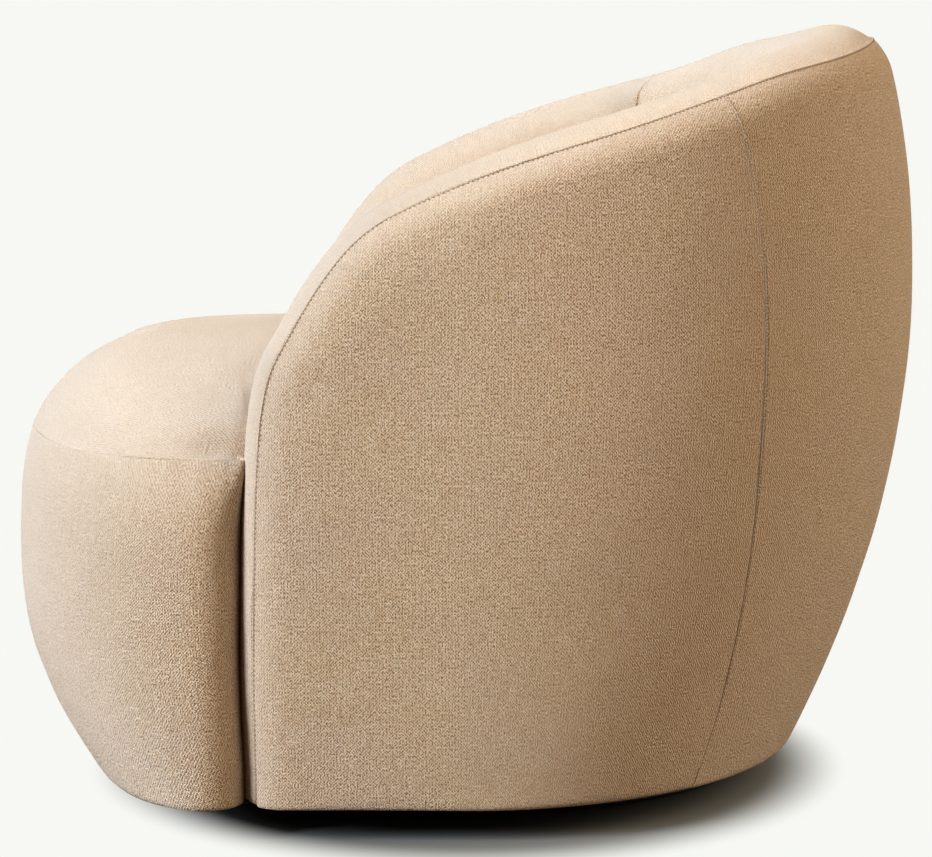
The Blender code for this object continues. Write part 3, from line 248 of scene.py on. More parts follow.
def newPiece(name, points, faces, uv, hint=None):
    # hint is (face, direction): that face has to look along the direction, or all faces turn round
    points = np.asarray(points, dtype=float)
    if hint:
        corners = points[faces[hint[0]]]
        normal = np.cross(corners[1] - corners[0], corners[2] - corners[0])
        if np.dot(normal, hint[1]) < 0:
            faces = [list(reversed(ring)) for ring in faces]
    mesh = bpy.data.meshes.new(name)
    mesh.from_pydata(points.tolist(), [], faces)
    layer = mesh.uv_layers.new(name="cloth")
    corner = np.zeros(len(mesh.loops), dtype=int)
    mesh.loops.foreach_get("vertex_index", corner)
    layer.data.foreach_set("uv", np.asarray(uv, dtype=float)[corner].ravel())
    piece = bpy.data.objects.new(name, mesh)
    bpy.context.collection.objects.link(piece)
    return piece


def facesOut(piece):
    bm = bmesh.new()
    bm.from_mesh(piece.data)
    bmesh.ops.recalc_face_normals(bm, faces=bm.faces[:])
    bm.to_mesh(piece.data)
    bm.free()


def coordinates(mesh):
    values = np.zeros(len(mesh.vertices) * 3)
    mesh.vertices.foreach_get("co", values)
    return values.reshape(-1, 3)


def vertexNormals(mesh):
    values = np.zeros(len(mesh.vertices) * 3)
    mesh.vertex_normals.foreach_get("vector", values)
    return values.reshape(-1, 3)


swell = {
    "steps": 20,
    "evenings": 8,
    "room": 0.0020,      # how far the cloth is cut inside its place, for the swelling
    "most": 0.0023,      # how far any point may move
    "settings": {
        "quality": 5,
        "tension_stiffness": 18.0,
        "compression_stiffness": 18.0,
        "shear_stiffness": 9.0,
        "bending_stiffness": 3.0,
        "use_pressure": True,
        "uniform_pressure_force": 4.0,
        "vertex_group_mass": "sewn",
    },
}


def evened(mesh, move, pinned):
    # Closely set rows at a seam can jitter, so each point takes up half of its neighbours' movement
    ends = np.zeros(len(mesh.edges) * 2, dtype=int)
    mesh.edges.foreach_get("vertices", ends)
    first, second = ends.reshape(-1, 2).T
    count = np.bincount(ends, minlength=len(move))[:, None]
    for step in range(swell["evenings"]):
        total = np.zeros_like(move)
        np.add.at(total, first, move[second])
        np.add.at(total, second, move[first])
        move = (move + total / count) / 2
        move[np.asarray(pinned, dtype=int)] = 0.0
    return move


def swellCloth(piece, pinned):
    # Cloth blown up gently against its sewn edges
    start = coordinates(piece.data)
    sewn = piece.vertex_groups.new(name="sewn")
    sewn.add([int(i) for i in pinned], 1.0, "REPLACE")
    cloth = piece.modifiers.new("cloth", "CLOTH")
    for key, value in swell["settings"].items():
        setattr(cloth.settings, key, value)
    cloth.settings.effector_weights.gravity = 0.0
    cloth.collision_settings.use_collision = False
    cloth.collision_settings.use_self_collision = False
    cloth.point_cache.frame_start = 1
    cloth.point_cache.frame_end = swell["steps"]
    scene = bpy.context.scene
    for step in range(1, swell["steps"] + 1):
        scene.frame_set(step)
    blown = piece.evaluated_get(bpy.context.evaluated_depsgraph_get()).to_mesh()
    move = coordinates(blown) - start
    piece.modifiers.remove(cloth)
    piece.vertex_groups.remove(sewn)
    scene.frame_set(1)
    size = np.maximum(np.linalg.norm(move, axis=1), 1e-9)
    capped = swell["most"] * np.tanh(size / swell["most"])
    move = evened(piece.data, move * (capped / size)[:, None], pinned)
    piece.data.vertices.foreach_set("co", (start + move).ravel())
    piece.data.update()
    print("swollen", piece.name, "most", round(float(size.max()) * 1000, 1), "mm, kept",
          round(float(capped.max()) * 1000, 1))


unevenness = {     # height and breadth of the cloth's waves, and where in the noise they are taken
    "finer": (0.5, 2.3),     # height and number of the finer waves over the others
    "outerSidePanelLeft": (0.0011, 0.13, 3.0),
    "outerSidePanelRight": (0.0011, 0.13, 9.0),
    "outerBackPanel": (0.0011, 0.14, 5.0),
    "insideCover": (0.0010, 0.15, 7.0),
    "seatCushion": (0.0018, 0.12, 11.0),
    "seatBoxing": (0.0014, 0.11, 13.0),
}


def settle(piece, pinned):
    # Swells the cloth, adds the slight unevenness of hand-pulled cloth, and gives its points and normals
    swellCloth(piece, pinned)
    height, breadth, seed = unevenness[piece.name]
    share, times = unevenness["finer"]
    points = coordinates(piece.data)
    shift = Vector((seed, seed * 0.7, seed * 1.3))
    places = [Vector(p) / breadth for p in points]
    amount = np.array([noise.noise(p + shift) + share * noise.noise(p * times + shift) for p in places])
    amount[np.asarray(pinned, dtype=int)] = 0.0
    move = vertexNormals(piece.data) * (amount * height)[:, None]
    piece.data.vertices.foreach_set("co", (points + move).ravel())
    piece.data.update()
    return coordinates(piece.data), vertexNormals(piece.data)


def selectOnly(piece):
    bpy.ops.object.select_all(action="DESELECT")
    piece.select_set(True)
    bpy.context.view_layer.objects.active = piece


# Painted light: the cloth is painted paler where it faces up and forward, towards the key light; the welts are paler
# all along
paintedLight = {
    "towards": (0.0, -0.53, 0.85),
    "from": (-0.1, 0.9),
    "onWelts": 0.7,
}


def paintLitSide(piece, least=0.0):
    # Painted light: the cloth is painted paler where it faces up and forward, towards the light, and the welts are
    # paler all along, partly rubbed wear and partly a painted highlight on their ridge
    litShare = piece.data.attributes.new("paintedLight", "FLOAT", "POINT")
    facing = vertexNormals(piece.data) @ np.array(paintedLight["towards"])
    litShare.data.foreach_set("value", np.maximum(smoothStep(facing, *paintedLight["from"]), least).astype(np.float32))


def thicken(piece, thickness):
    # Foam or felt behind the cloth closes the form, and one finer level rounds it
    selectOnly(piece)
    if thickness:
        solid = piece.modifiers.new("foam", "SOLIDIFY")
        solid.thickness = thickness
        solid.offset = -1.0
        bpy.ops.object.modifier_apply(modifier="foam")
    finer = piece.modifiers.new("finer", "SUBSURF")
    finer.levels = 1
    finer.render_levels = 1
    bpy.ops.object.modifier_apply(modifier="finer")
    piece.data.shade_smooth()


def spread(start, end, step):
    count = max(int(round(abs(end - start) / step)), 2)
    return np.linspace(start, end, count + 1)


def clustered(start, end, step, near):
    # Even spacing with finer rows at a seam at the start
    sign = 1.0 if end > start else -1.0
    return np.concatenate([start + sign * np.array(near), spread(start + sign * (near[-1] + step), end, step)])


seamRows = (0.0, 0.0014, 0.0032, 0.006, 0.010, 0.015)
frontLengths = spread(0.0, cornerLength, shell["spacing"])
panelAngles = np.radians([48.0, 49.6, 51.9, 55.0, 60.0, 67.0, 75.0, 82.5, 90.0])
coverAngles = np.radians([48.0, 46.4, 44.1, 41.0, 36.0, 30.0, 23.0, 16.0, 9.0, 2.0, -5.0, -12.0, -19.0, -26.0,
                          -33.0, -40.0, -47.0, -54.0, -61.0, -68.0, -75.0, -82.5, -90.0])
seamLines = {}


def pinched(row, depth=0.0008):
    # How far the seam pulls in the row-th row of the cloth beside it
    return depth * math.exp(-row * 0.9)


panelInsets = [swell["room"] + pinched(k) for k in range(len(panelAngles) - 1)] + [swell["room"]]


def girthsOf(rows):
    # How far over the rounded edge each row lies
    return np.concatenate([[0.0], np.cumsum([np.linalg.norm(b - a, axis=1).mean() for a, b in zip(rows, rows[1:])])])


def rimRows(lengths):
    # Rows over the outside of the rounded edge, with their places in the cloth
    place, inward = crestAt(lengths)
    rows = []
    for angle, inset in zip(panelAngles, panelInsets):
        flat = place + inward * edgeDepth(angle, inset)
        flat[:, 0] = leanRear(flat[:, 0], flat[:, 1])
        rows.append(wallPlace(flat[:, 0], flat[:, 1], angle, inset))
    girths = girthsOf(rows)
    return rows, [scaledUv(flat - inward * (girths[-1] - g), panelStretch) for g in girths]


def scaledUv(flat, uScale):
    # Round the back the cloth is longer or shorter than its place along the shell says
    flat = np.array(flat, dtype=float)
    flat[..., 0] = np.where(flat[..., 0] > 0.0, flat[..., 0] * uScale, flat[..., 0])
    return flat


def wallGrid(rowCount, topCount):
    # Numbers of the points in the rows over the rounded edge and in the wall, which hangs from the last row
    fronts = len(frontLengths)
    count = fronts + topCount - 1
    index = np.arange(rowCount * count).reshape(rowCount, count)
    grid = np.zeros((fronts, topCount), dtype=int)
    grid[:, 0] = index[-1, :fronts]
    grid[-1] = index[-1, fronts - 1:]
    grid[:-1, 1:] = index.size + np.arange((fronts - 1) * (topCount - 1)).reshape(fronts - 1, topCount - 1)
    return index, grid, gridFaces(index) + gridFaces(grid[::-1])


def outerSidePanel(side):
    tag = "Left" if side > 0 else "Right"
    cornerAlong = shell["armFront"] + shell["cornerBehind"]
    topLengths = lengthAt(clustered(rearSeam, cornerAlong, shell["spacing"], seamRows)[::-1])
    topLengths[0] = cornerLength
    rows, uvs = rimRows(np.concatenate([frontLengths, topLengths[1:]]))
    for row in rows:
        row[0, 2] = shell["bottom"]
    body = clothPatch(topLengths, panelAngles[-1], shell["bottom"]).reshape(-1, 2)
    body[:, 0] = leanRear(body[:, 0], body[:, 1])
    points = np.concatenate([*rows, wallPlace(body[:, 0], body[:, 1], panelAngles[-1], swell["room"])])
    points[:, 0] *= side
    uv = np.concatenate([*uvs, scaledUv(body, panelStretch)])
    index, grid, faces = wallGrid(len(rows), len(topLengths))
    piece = newPiece("outerSidePanel" + tag, points, faces, uv, (len(faces) - 5, (side, 0.3, 0.0)))
    cloth = settle(piece, [*index[0], *grid[0], *index[:, 0], *grid[:, -1], *index[:, -1]])
    rear = [*index[:, -1], *grid[::-1, -1][1:]]
    for seam, chosen in (("crest", index[0]), ("stitch", index[1]), ("rear", rear)):
        seamLines[seam + tag] = [values[chosen] for values in cloth]
    thicken(piece, shell["panelFelt"])
    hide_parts("outer_side_panel_left" if side > 0 else "outer_side_panel_right")
    return piece


def outerBackPanel():
    near = np.array(seamRows)
    middle = spread(rearSeam + near[-1] + shell["spacing"], 2 * backCentre - rearSeam - near[-1] - shell["spacing"],
                    shell["spacing"])
    along = np.concatenate([rearSeam + near, middle, 2 * backCentre - rearSeam - near[::-1]])
    z = crestHeight(along)
    levels = [(z - edgeDepth(angle, inset), angle, inset) for angle, inset in zip(panelAngles, panelInsets)]
    rim = levels[-1][0]
    for share in spread(0.0, 1.0, shell["spacing"] / shell["wallHeight"])[1:]:
        levels.append((rim + (shell["bottom"] - rim) * share, panelAngles[-1], swell["room"]))
    rows = []
    uv = []
    for height, angle, inset in levels:
        leant = leanRear(along, height)
        rows.append(wallPlace(leant, height, angle, inset))
        uv.append(np.stack([leant * panelStretch, height], 1))
    grid = np.arange(len(rows) * len(along)).reshape(len(rows), len(along))
    faces = gridFaces(grid)
    piece = newPiece("outerBackPanel", np.concatenate(rows), faces, np.concatenate(uv),
                     (len(faces) // 2, (0.0, 1.0, 0.0)))
    cloth = settle(piece, [*grid[0], *grid[-1], *grid[:, 0], *grid[:, -1]])
    for seam, chosen in (("crestBack", grid[0]), ("stitchBack", grid[1]), ("stitchRearLeft", grid[2:, 1]),
                         ("stitchRearRight", grid[2:, -2])):
        seamLines[seam] = [values[chosen] for values in cloth]
    thicken(piece, shell["panelFelt"])
    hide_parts("outer_back_panel")
    return piece


dart = {
    "topAlong": math.radians(38.0) * shell["arcScale"],
    "footAlong": math.radians(34.4) * shell["arcScale"],
    "full": 42.0,              # degrees over the crest where the dart has its whole depth
    "runsOut": 9.0,
    "leans": (10.0, 72.0),     # degrees between which the cover's columns take on the dart's slant
    "reach": 0.055,
    "columns": (-0.012, -0.008, -0.005, -0.0028, -0.0012, 0.0, 0.0012, 0.0028, 0.005, 0.008, 0.012),
    "clear": 0.018,
    "apart": 0.016,            # spacing of the cover's columns away from the dart
    "depth": 0.0022,
    "width": 0.0017,
}


def dartedPlace(flat, angle, inset, share):
    # The cover's surface, drawn in along the dart
    plain = wallPlace(flat[:, 0], flat[:, 1], angle, inset)
    sunk = wallPlace(flat[:, 0], flat[:, 1], angle, inset + dart["depth"])
    return plain + (sunk - plain) * share[:, None]


def insideCover():
    top = dart["topAlong"]
    before = spread(shell["armFront"] + shell["cornerBehind"], top - dart["clear"], dart["apart"])
    behind = spread(top + dart["clear"], backCentre, dart["apart"])
    topLengths = lengthAt(np.concatenate([before, top + np.array(dart["columns"]), behind]))
    topLengths[0] = cornerLength
    topLengths[-1] = crestLength[-1]
    fronts = len(frontLengths)
    place, inward = crestAt(np.concatenate([frontLengths, topLengths[1:]]))
    inward[-1] = (0.0, -1.0)
    slide = (top - dart["footAlong"]) * np.exp(-((place[:, 0] - top) / dart["reach"]) ** 2)
    groove = np.exp(-((place[:, 0] - top) / dart["width"]) ** 2)
    groove[:fronts] = 0.0
    rows = []
    for k, angle in enumerate(coverAngles):
        past = -math.degrees(angle)
        inset = swell["room"] + pinched(k)
        flat = place + inward * edgeDepth(angle, inset)
        flat[:, 0] -= slide * float(smoothStep(past, *dart["leans"]))
        row = dartedPlace(flat, angle, inset, groove * float(smoothStep(past, dart["runsOut"], dart["full"])))
        row[0, 2] = shell["bottom"] if angle >= 0.0 else shell["coverBottom"]
        rows.append(row)
    girths = girthsOf(rows)
    reach = place + inward * edgeDepth(coverAngles[-1], swell["room"])
    uvs = [scaledUv(reach - inward * (girths[-1] - g), coverStretch) for g in girths]
    body = clothPatch(topLengths, coverAngles[-1], shell["coverBottom"])
    body[..., 0] -= slide[fronts:]
    share = np.broadcast_to(groove[fronts:], body.shape[:2]).ravel()
    body = body.reshape(-1, 2)
    points = np.concatenate([*rows, dartedPlace(body, coverAngles[-1], swell["room"], share)])
    uv = np.concatenate([*uvs, scaledUv(body, coverStretch)])
    index, grid, faces = wallGrid(len(rows), len(topLengths))
    # The far half is the near half mirrored, joined along the middle of the back
    centre = [*index[:, -1], *grid[:-1, -1]]
    points[centre, 0] = 0.0
    total = len(points)
    keep = np.setdiff1d(np.arange(total), centre)
    twin = np.arange(total)
    twin[keep] = total + np.arange(len(keep))
    faces += [[int(twin[v]) for v in reversed(face)] for face in faces]
    points = np.concatenate([points, points[keep] * np.array([-1.0, 1.0, 1.0])])
    across = 2 * backCentre * coverStretch - uv[keep, 0]
    uv = np.concatenate([uv, np.column_stack([across, uv[keep, 1]])])
    crestRow = int(np.argmax(coverAngles < 0.0)) - 1
    crestFace = crestRow * (index.shape[1] - 1) + fronts + len(before) // 2
    piece = newPiece("insideCover", points, faces, uv, (crestFace, (0.0, 0.0, 1.0)))
    column = fronts - 1 + len(before) + len(dart["columns"]) // 2
    dartTop = int(np.argmax(np.degrees(coverAngles) <= -dart["full"]))
    pinned = [*index[0], *index[:, 0], *grid[0], *index[dartTop:, column], *grid[:-1, column - fronts + 1]]
    settle(piece, pinned + [int(twin[v]) for v in pinned])
    thicken(piece, shell["coverFoam"])
    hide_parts("inside_cover", "arm_foam_left", "arm_foam_right", "back_foam")
    return piece


# The seat in metres: a front as wide as the shell and a stem between the arms
seat = {
    "crown": 0.427,
    "widestAt": 0.209,
    "seam": 0.344,
    "halfWidth": 0.415,
    "centreY": -0.2176,
    "frontLength": 0.2138,
    "fallLength": 0.620,
    "earBack": -0.1996,
    "earRound": (0.010, 0.034),   # how far the ear's corner turns in at the seam, across and along the chair
    "earDeeper": 0.036,           # how much further it turns in lower down
    "earFlange": 0.012,           # cloth turned in behind the ear, out of sight
    "earReturn": 0.020,
    "earTuck": 0.0040,            # how far the corner is pressed against the arm's round edge
    "footTuck": 0.0030,           # how much more at the floor
    "seamTuck": 0.0025,           # and at the seam
    "earPress": 0.0045,           # how far the dome is pressed into the arm above the seam
    "earClear": 0.0004,
    "nearArm": (-0.27, -0.2),     # y between which the seat takes on the lean of the arm's front edge
    "pastArm": (-0.198, -0.08),   # and between which it loses it again
    "cornerFalls": (-0.26, -0.215),
    "stemFalls": (-0.215, -0.17),
    "stemHalf": 0.297,
    "stemBack": 0.2222,
    "planPower": 2.15,
    "domePlan": 3.07,
    "domeRise": 3.72,
    "sideBulge": 0.263,
    "frontBulge": 2.36,
    "hubY": -0.2876,
    "stemRound": 0.016,
    "stemReach": 0.26,            # turns a share of the stem's depth into a length
    "stemClear": 0.001,
    "boxingFoam": 0.007,
    "boxingRows": (0.0003, 0.0017, 0.0035, 0.006, 0.010, 0.015),     # below the seam, before the even rows
    "boxingEven": (0.021, 0.314),
    "pinch": 0.0006,
    "spacing": 0.0075,
    "arcSteps": 150,
    "stemSteps": 90,
    "ringSteps": (0.0014, 0.0032, 0.006, 0.010, 0.015),
    "ringNext": 0.007,            # from the last of them to the even rings
    "ringApart": 0.0085,
    "ringFlat": 0.12,             # how much the rings' share of the plan counts beside their height
    "ringLeast": 0.02,
    "slopePoint": 45,             # points from the front's middle to where the rings' steps are measured
    "girth": 2.4,                 # roughly, to find the spacing of a ring's points
    "finest": 0.0034,             # the least that it may be
    "mostLeftOut": 32,
    "softened": (0.02, 0.5),      # part of the way in over which the rings lose the notches beside the arms
    "softenings": 300,
    # The hidden sides: how far in they lie, and how far under the seam or, where not nought, at which height
    "sides": ((0.010, -0.012, 0.0), (0.012, 0.0, 0.300), (0.014, 0.0, 0.277)),
    "sideCloth": 0.02,
    "bottomRings": ((0.93, 2), (0.8, 4), (0.6, 8), (0.35, 16), (0.1, 32)),   # share of the plan, points left out
}


def drawnIn(z):
    low = np.maximum(seat["widestAt"] - z, 0.0) ** 2
    return seat["sideBulge"] * low, seat["frontBulge"] * low


def scaleAt(z):
    rise = np.clip((z - seat["widestAt"]) / (seat["crown"] - seat["widestAt"]), 0.0, 1.0)
    return (1 - rise ** seat["domeRise"]) ** (1 / seat["domePlan"])


def frontRow(z, inset):
    # Outline of the seat's front at a height, from one ear's return round to the other
    sideIn, frontIn = drawnIn(z)
    wide = seat["halfWidth"] * scaleAt(z) - sideIn - inset
    deep = seat["frontLength"] * scaleAt(z) - frontIn - inset
    rear = seat["earBack"] - seat["earClear"]
    turnIn, turnAlong = seat["earRound"]
    turnIn += seat["earDeeper"] * (1 - smoothStep(z, 0.265, seat["seam"]))
    turnFrom = rear - turnAlong
    corner = wide - turnIn
    ear = [(corner - seat["earFlange"] * (1 - k / 4), rear) for k in range(4)]
    first = math.asin((seat["centreY"] - turnFrom) / turnAlong)
    for turn in np.linspace(math.pi / 2, first, 12, endpoint=False):
        ear.append((wide - turnIn * (1 - math.cos(turn)), turnFrom + turnAlong * math.sin(turn)))
    ear = np.array(ear)
    # Equal steps in angle crowd the power curve's ends, so the steps follow its length
    power = 2 / seat["planPower"]
    fine = np.linspace(0.0, math.pi, 2001)
    across = np.sign(np.cos(fine)) * np.abs(np.cos(fine)) ** power * wide
    forward = seat["centreY"] - np.maximum(np.sin(fine), 0.0) ** power * deep
    run = np.concatenate([[0.0], np.cumsum(np.hypot(np.diff(across), np.diff(forward)))])
    even = np.linspace(0.0, run[-1], seat["arcSteps"] + 1)
    arc = np.stack([np.interp(even, run, across), np.interp(even, run, forward)], 1)
    part = np.clip((arc[:, 1] - turnFrom) / turnAlong, 0.0, 1.0)
    arc[:, 0] -= np.sign(arc[:, 0]) * turnIn * (1 - np.sqrt(1 - part * part))
    row = np.concatenate([ear, arc, ear[::-1] * np.array([-1.0, 1.0])])
    deepest = (seat["earTuck"] + seat["footTuck"] * (1 - smoothStep(z, 0.04, 0.15))
               + seat["seamTuck"] * smoothStep(z, 0.30, seat["seam"]))
    tuck = deepest * smoothStep(np.abs(row[:, 0]), corner - seat["earReturn"], corner)
    row[:, 1] += tuck * smoothStep(row[:, 1], turnFrom, rear)
    return row


def domeHeight(x, y, inset):
    length = np.where(y < seat["centreY"], seat["frontLength"], seat["fallLength"])
    across = np.abs(x) / (seat["halfWidth"] - inset)
    forward = np.abs(y - seat["centreY"]) / (length - inset)
    reach = (across ** seat["planPower"] + forward ** seat["planPower"]) ** (1 / seat["planPower"])
    rise = np.maximum(1 - reach ** seat["domePlan"], 0.0) ** (1 / seat["domeRise"])
    return seat["widestAt"] + (seat["crown"] - inset - seat["widestAt"]) * rise


def cornerDrop(x, y, z):
    # The seam runs level to the arm, so the dome falls to it at the ear's corner
    corner = seat["halfWidth"] * scaleAt(seat["seam"]) - seat["earRound"][0]
    near = smoothStep(np.abs(x), corner - seat["earReturn"], corner) * smoothStep(y, *seat["cornerFalls"])
    return np.maximum(z - seat["seam"], 0.0) * near


def besideArm(points):
    # The seat's ears stay against the arms' front edges, which lean back above the seat seam
    points = points.copy()
    y = points[:, 1]
    near = smoothStep(y, *seat["nearArm"]) * (1 - smoothStep(y, *seat["pastArm"]))
    press = seat["earPress"] * smoothStep(points[:, 2], seat["seam"], seat["seam"] + 0.02)
    points[:, 1] += (crestFront(points[:, 2]) - shell["armFront"] + press) * near
    return points


def stemDrop(x, y):
    # The top cloth turns down where the seat meets the arms and the back
    radius = seat["stemRound"]
    behind = np.hypot(x / seat["stemHalf"], np.maximum(y, 0.0) / seat["stemBack"])
    distance = np.clip((1 - behind) * seat["stemReach"], 0.0, radius)
    part = 1 - distance / radius
    drop = radius * (1 - np.sqrt(np.maximum(1 - part * part, 0.0)))
    return drop * smoothStep(y, *seat["stemFalls"])


def addRing(mesh, ring, uv, step):
    # Adds every step-th point of a ring and joins it to the ring before, which has as many points or more
    chosen = np.arange(0, len(ring), step)
    index = sum(map(len, mesh["points"])) + np.arange(len(chosen))
    if mesh["rings"]:
        outer, outerChosen = mesh["rings"][-1]
        place = dict(zip(chosen.tolist(), index.tolist()))
        last = int(index[0])
        for k in range(len(outer)):
            after = (k + 1) % len(outer)
            target = place.get(int(outerChosen[after]), last)
            mesh["faces"].append([int(outer[k]), int(outer[after]), target] + [last] * (target != last))
            last = target
    mesh["rings"].append((index, chosen))
    mesh["points"].append(ring[chosen])
    mesh["uv"].append(uv[chosen])


def addTip(mesh, tip, uv):
    # Closes the last ring with triangles to one point
    last = mesh["rings"][-1][0]
    hub = sum(map(len, mesh["points"]))
    mesh["faces"] += [[int(a), int(b), hub] for a, b in zip(last, np.roll(last, -1))]
    mesh["points"].append(np.array([tip]))
    mesh["uv"].append(np.array([uv]))
    return hub


def seatOutline():
    # Plan of the cushion at its seam, which of its points lie before the arms, and one to measure the dome at
    edge = frontRow(seat["seam"], swell["room"])
    wide = seat["stemHalf"] - seat["stemClear"]
    side = spread(0.0, edge[0, 1], seat["spacing"])
    angles = np.linspace(0.0, math.pi, seat["stemSteps"] + 1)[-2:0:-1]
    stem = np.stack([wide * np.cos(angles), (seat["stemBack"] - seat["stemClear"]) * np.sin(angles)], 1)
    rightSide = np.stack([np.full(len(side), wide), side], 1)
    bridge = spread(wide, edge[0, 0], seat["ringApart"])[1:-1]
    rightBridge = np.stack([bridge, np.full(len(bridge), edge[0, 1])], 1)
    flip = np.array([-1.0, 1.0])
    outline = np.concatenate([rightSide, rightBridge, edge, rightBridge[::-1] * flip, rightSide[::-1] * flip, stem])
    place = np.arange(len(outline)) - len(side)
    slope = edge[len(edge) // 2 - seat["slopePoint"]]
    return outline, (place >= 0) & (place < 2 * len(bridge) + len(edge)), slope


def seatTop():
    inset = swell["room"]
    outline, front, slope = seatOutline()
    hub = np.array([0.0, seat["hubY"]])
    # Rings at even steps over the dome, finer at the seam
    probe = np.linspace(1.0, seat["ringLeast"], 4000)
    py = hub[1] + (slope[1] - hub[1]) * probe
    pz = domeHeight(slope[0] * probe, py, inset)
    steps = np.hypot(np.diff(py), np.diff(pz)) + np.abs(np.diff(probe)) * seat["ringFlat"]
    run = np.concatenate([[0.0], np.cumsum(steps)])
    marks = [*seat["ringSteps"], seat["ringSteps"][-1] + seat["ringNext"]]
    while marks[-1] + seat["ringApart"] < run[-1]:
        marks.append(marks[-1] + seat["ringApart"])
    shares = [1.0, *np.interp(marks, run, probe)]
    # Further in, the rings lose the notches between the ears and the arms
    spokes = outline - hub
    soft = spokes
    for step in range(seat["softenings"]):
        soft = (np.roll(soft, 1, axis=0) + 2 * soft + np.roll(soft, -1, axis=0)) / 4
    rings = []
    headings = []
    for k, share in enumerate(shares):
        reach = (spokes + (soft - spokes) * float(smoothStep(1.0 - share, *seat["softened"]))) * share
        headings.append(reach / np.linalg.norm(reach, axis=1)[:, None])
        flat = hub + reach
        z = domeHeight(flat[:, 0], flat[:, 1], inset)
        z -= cornerDrop(flat[:, 0], flat[:, 1], z) + stemDrop(flat[:, 0], flat[:, 1])
        z -= pinched(k, seat["pinch"])
        rings.append(besideArm(np.column_stack([flat, z])))
    top = [*hub, float(domeHeight(hub[:1], hub[1:], inset)[0])]
    # In the cloth each point lies as far from the middle as it does over the dome
    steps = np.linalg.norm(np.diff([*rings, np.broadcast_to(top, rings[0].shape)], axis=0), axis=2)
    away = np.cumsum(steps[::-1], axis=0)[::-1]
    flatUv = [heading * radius[:, None] for heading, radius in zip(headings, away)]
    mesh = {"points": [], "uv": [], "faces": [], "rings": []}
    step = 1
    for ring, uv, share in zip(rings, flatUv, shares):
        # Every other point is left out as the rings get small
        while share * seat["girth"] / (len(outline) / step) < seat["finest"] and step < seat["mostLeftOut"]:
            step *= 2
        addRing(mesh, ring, uv, step)
    domePoints = addTip(mesh, top, (0.0, 0.0)) + 1
    # The hidden cushion sides inside the boxing and its flat underside
    mesh["rings"] = mesh["rings"][:1]
    direction = spokes / np.linalg.norm(spokes, axis=1)[:, None]
    sidesFrom = len(mesh["faces"])
    for k, (shrink, below, height) in enumerate(seat["sides"]):
        flat = outline - direction * np.where(front, shrink, seat["stemClear"])[:, None]
        level = np.full(len(outline), height) if height else rings[0][:, 2] + below
        addRing(mesh, np.column_stack([flat, level]), flatUv[0] + direction * (seat["sideCloth"] * (k + 1)), 1)
    # The sides' faces are turned over to match the dome's
    mesh["faces"][sidesFrom:] = [[b, a, d, c] for a, b, c, d in mesh["faces"][sidesFrom:]]
    for share, step in seat["bottomRings"]:
        inner = hub + (flat - hub) * share
        addRing(mesh, np.column_stack([inner, level]), inner, step)
    total = addTip(mesh, (*hub, level[0]), hub) + 1
    piece = newPiece("seatCushion", np.concatenate(mesh["points"]), mesh["faces"], np.concatenate(mesh["uv"]),
                     (8 * len(outline), (0.0, 0.0, 1.0)))
    facesOut(piece)
    cloth = settle(piece, [*range(len(outline)), *range(domePoints, total)])
    seamRing = np.nonzero(front & (cloth[0][:len(outline), 1] < seat["earBack"] - 0.003))[0]
    seamLines["seat"] = [values[seamRing] for values in cloth]
    thicken(piece, 0.0)
    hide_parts("seat_top_cover", "seat_foam")
    return piece


puckers = {
    "height": 0.00242,
    "reach": 0.030,
    "spacing": 0.013,
    "long": 0.06,
    "least": 0.35,       # their height far from the arms over the height beside them
    "strongest": 0.05,   # distance from the arm, and the square of the distance over which they fade
    "fades": 0.02,
    "starts": 0.004,
    "ends": 3,           # times their reach
}


def seatBoxing():
    even = np.arange(*seat["boxingEven"], seat["spacing"])
    heights = seat["seam"] - np.concatenate([seat["boxingRows"], even])
    heights[-1] = shell["bottom"]
    rows = []
    uv = []
    for k, z in enumerate(heights):
        row = frontRow(z, swell["room"] + pinched(k, seat["pinch"]))
        rows.append(besideArm(np.column_stack([row, np.full(len(row), z)])))
        run = runAlong(rows[-1])
        uv.append(np.column_stack([run - run[-1] / 2, np.full(len(row), z)]))
    grid = np.arange(len(rows) * len(rows[0])).reshape(len(rows), -1)
    middle = (len(rows) // 2) * (len(rows[0]) - 1) + len(rows[0]) // 2
    piece = newPiece("seatBoxing", np.concatenate(rows), gridFaces(grid), np.concatenate(uv),
                     (middle, (0.0, -1.0, 0.0)))
    points, normals = settle(piece, [*grid[0], *grid[-1], *grid[:, 0], *grid[:, -1]])
    for row, z in zip(grid, heights):
        points[row] += normals[row] * gather(points[row], z)[:, None]
    piece.data.vertices.foreach_set("co", points.ravel())
    piece.data.update()
    thicken(piece, seat["boxingFoam"])
    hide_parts("seat_side_cover", "front_foam")
    return piece


def gather(row, z):
    # Small upright folds where the boxing is eased onto the seam, strongest beside the arms
    below = seat["seam"] - z
    run = runAlong(row)
    if below < 0.001 or below > puckers["reach"] * puckers["ends"]:
        return run * 0.0
    fromEar = np.minimum(run, run[-1] - run)
    least = puckers["least"]
    strength = least + (1 - least) * np.exp(-(fromEar - puckers["strongest"]) ** 2 / puckers["fades"])
    strength *= math.exp(-below / puckers["reach"]) * (1 - math.exp(-below / puckers["starts"]))
    wave = np.array([noise.noise(Vector((s / puckers["spacing"], below / puckers["long"], 4.0))) for s in run])
    return puckers["height"] * strength * wave


print("making the panels")
sidePanels = [outerSidePanel(1.0), outerSidePanel(-1.0)]
backPanel = outerBackPanel()
cover = insideCover()
cushion = seatTop()
boxing = seatBoxing()
print("panels made")


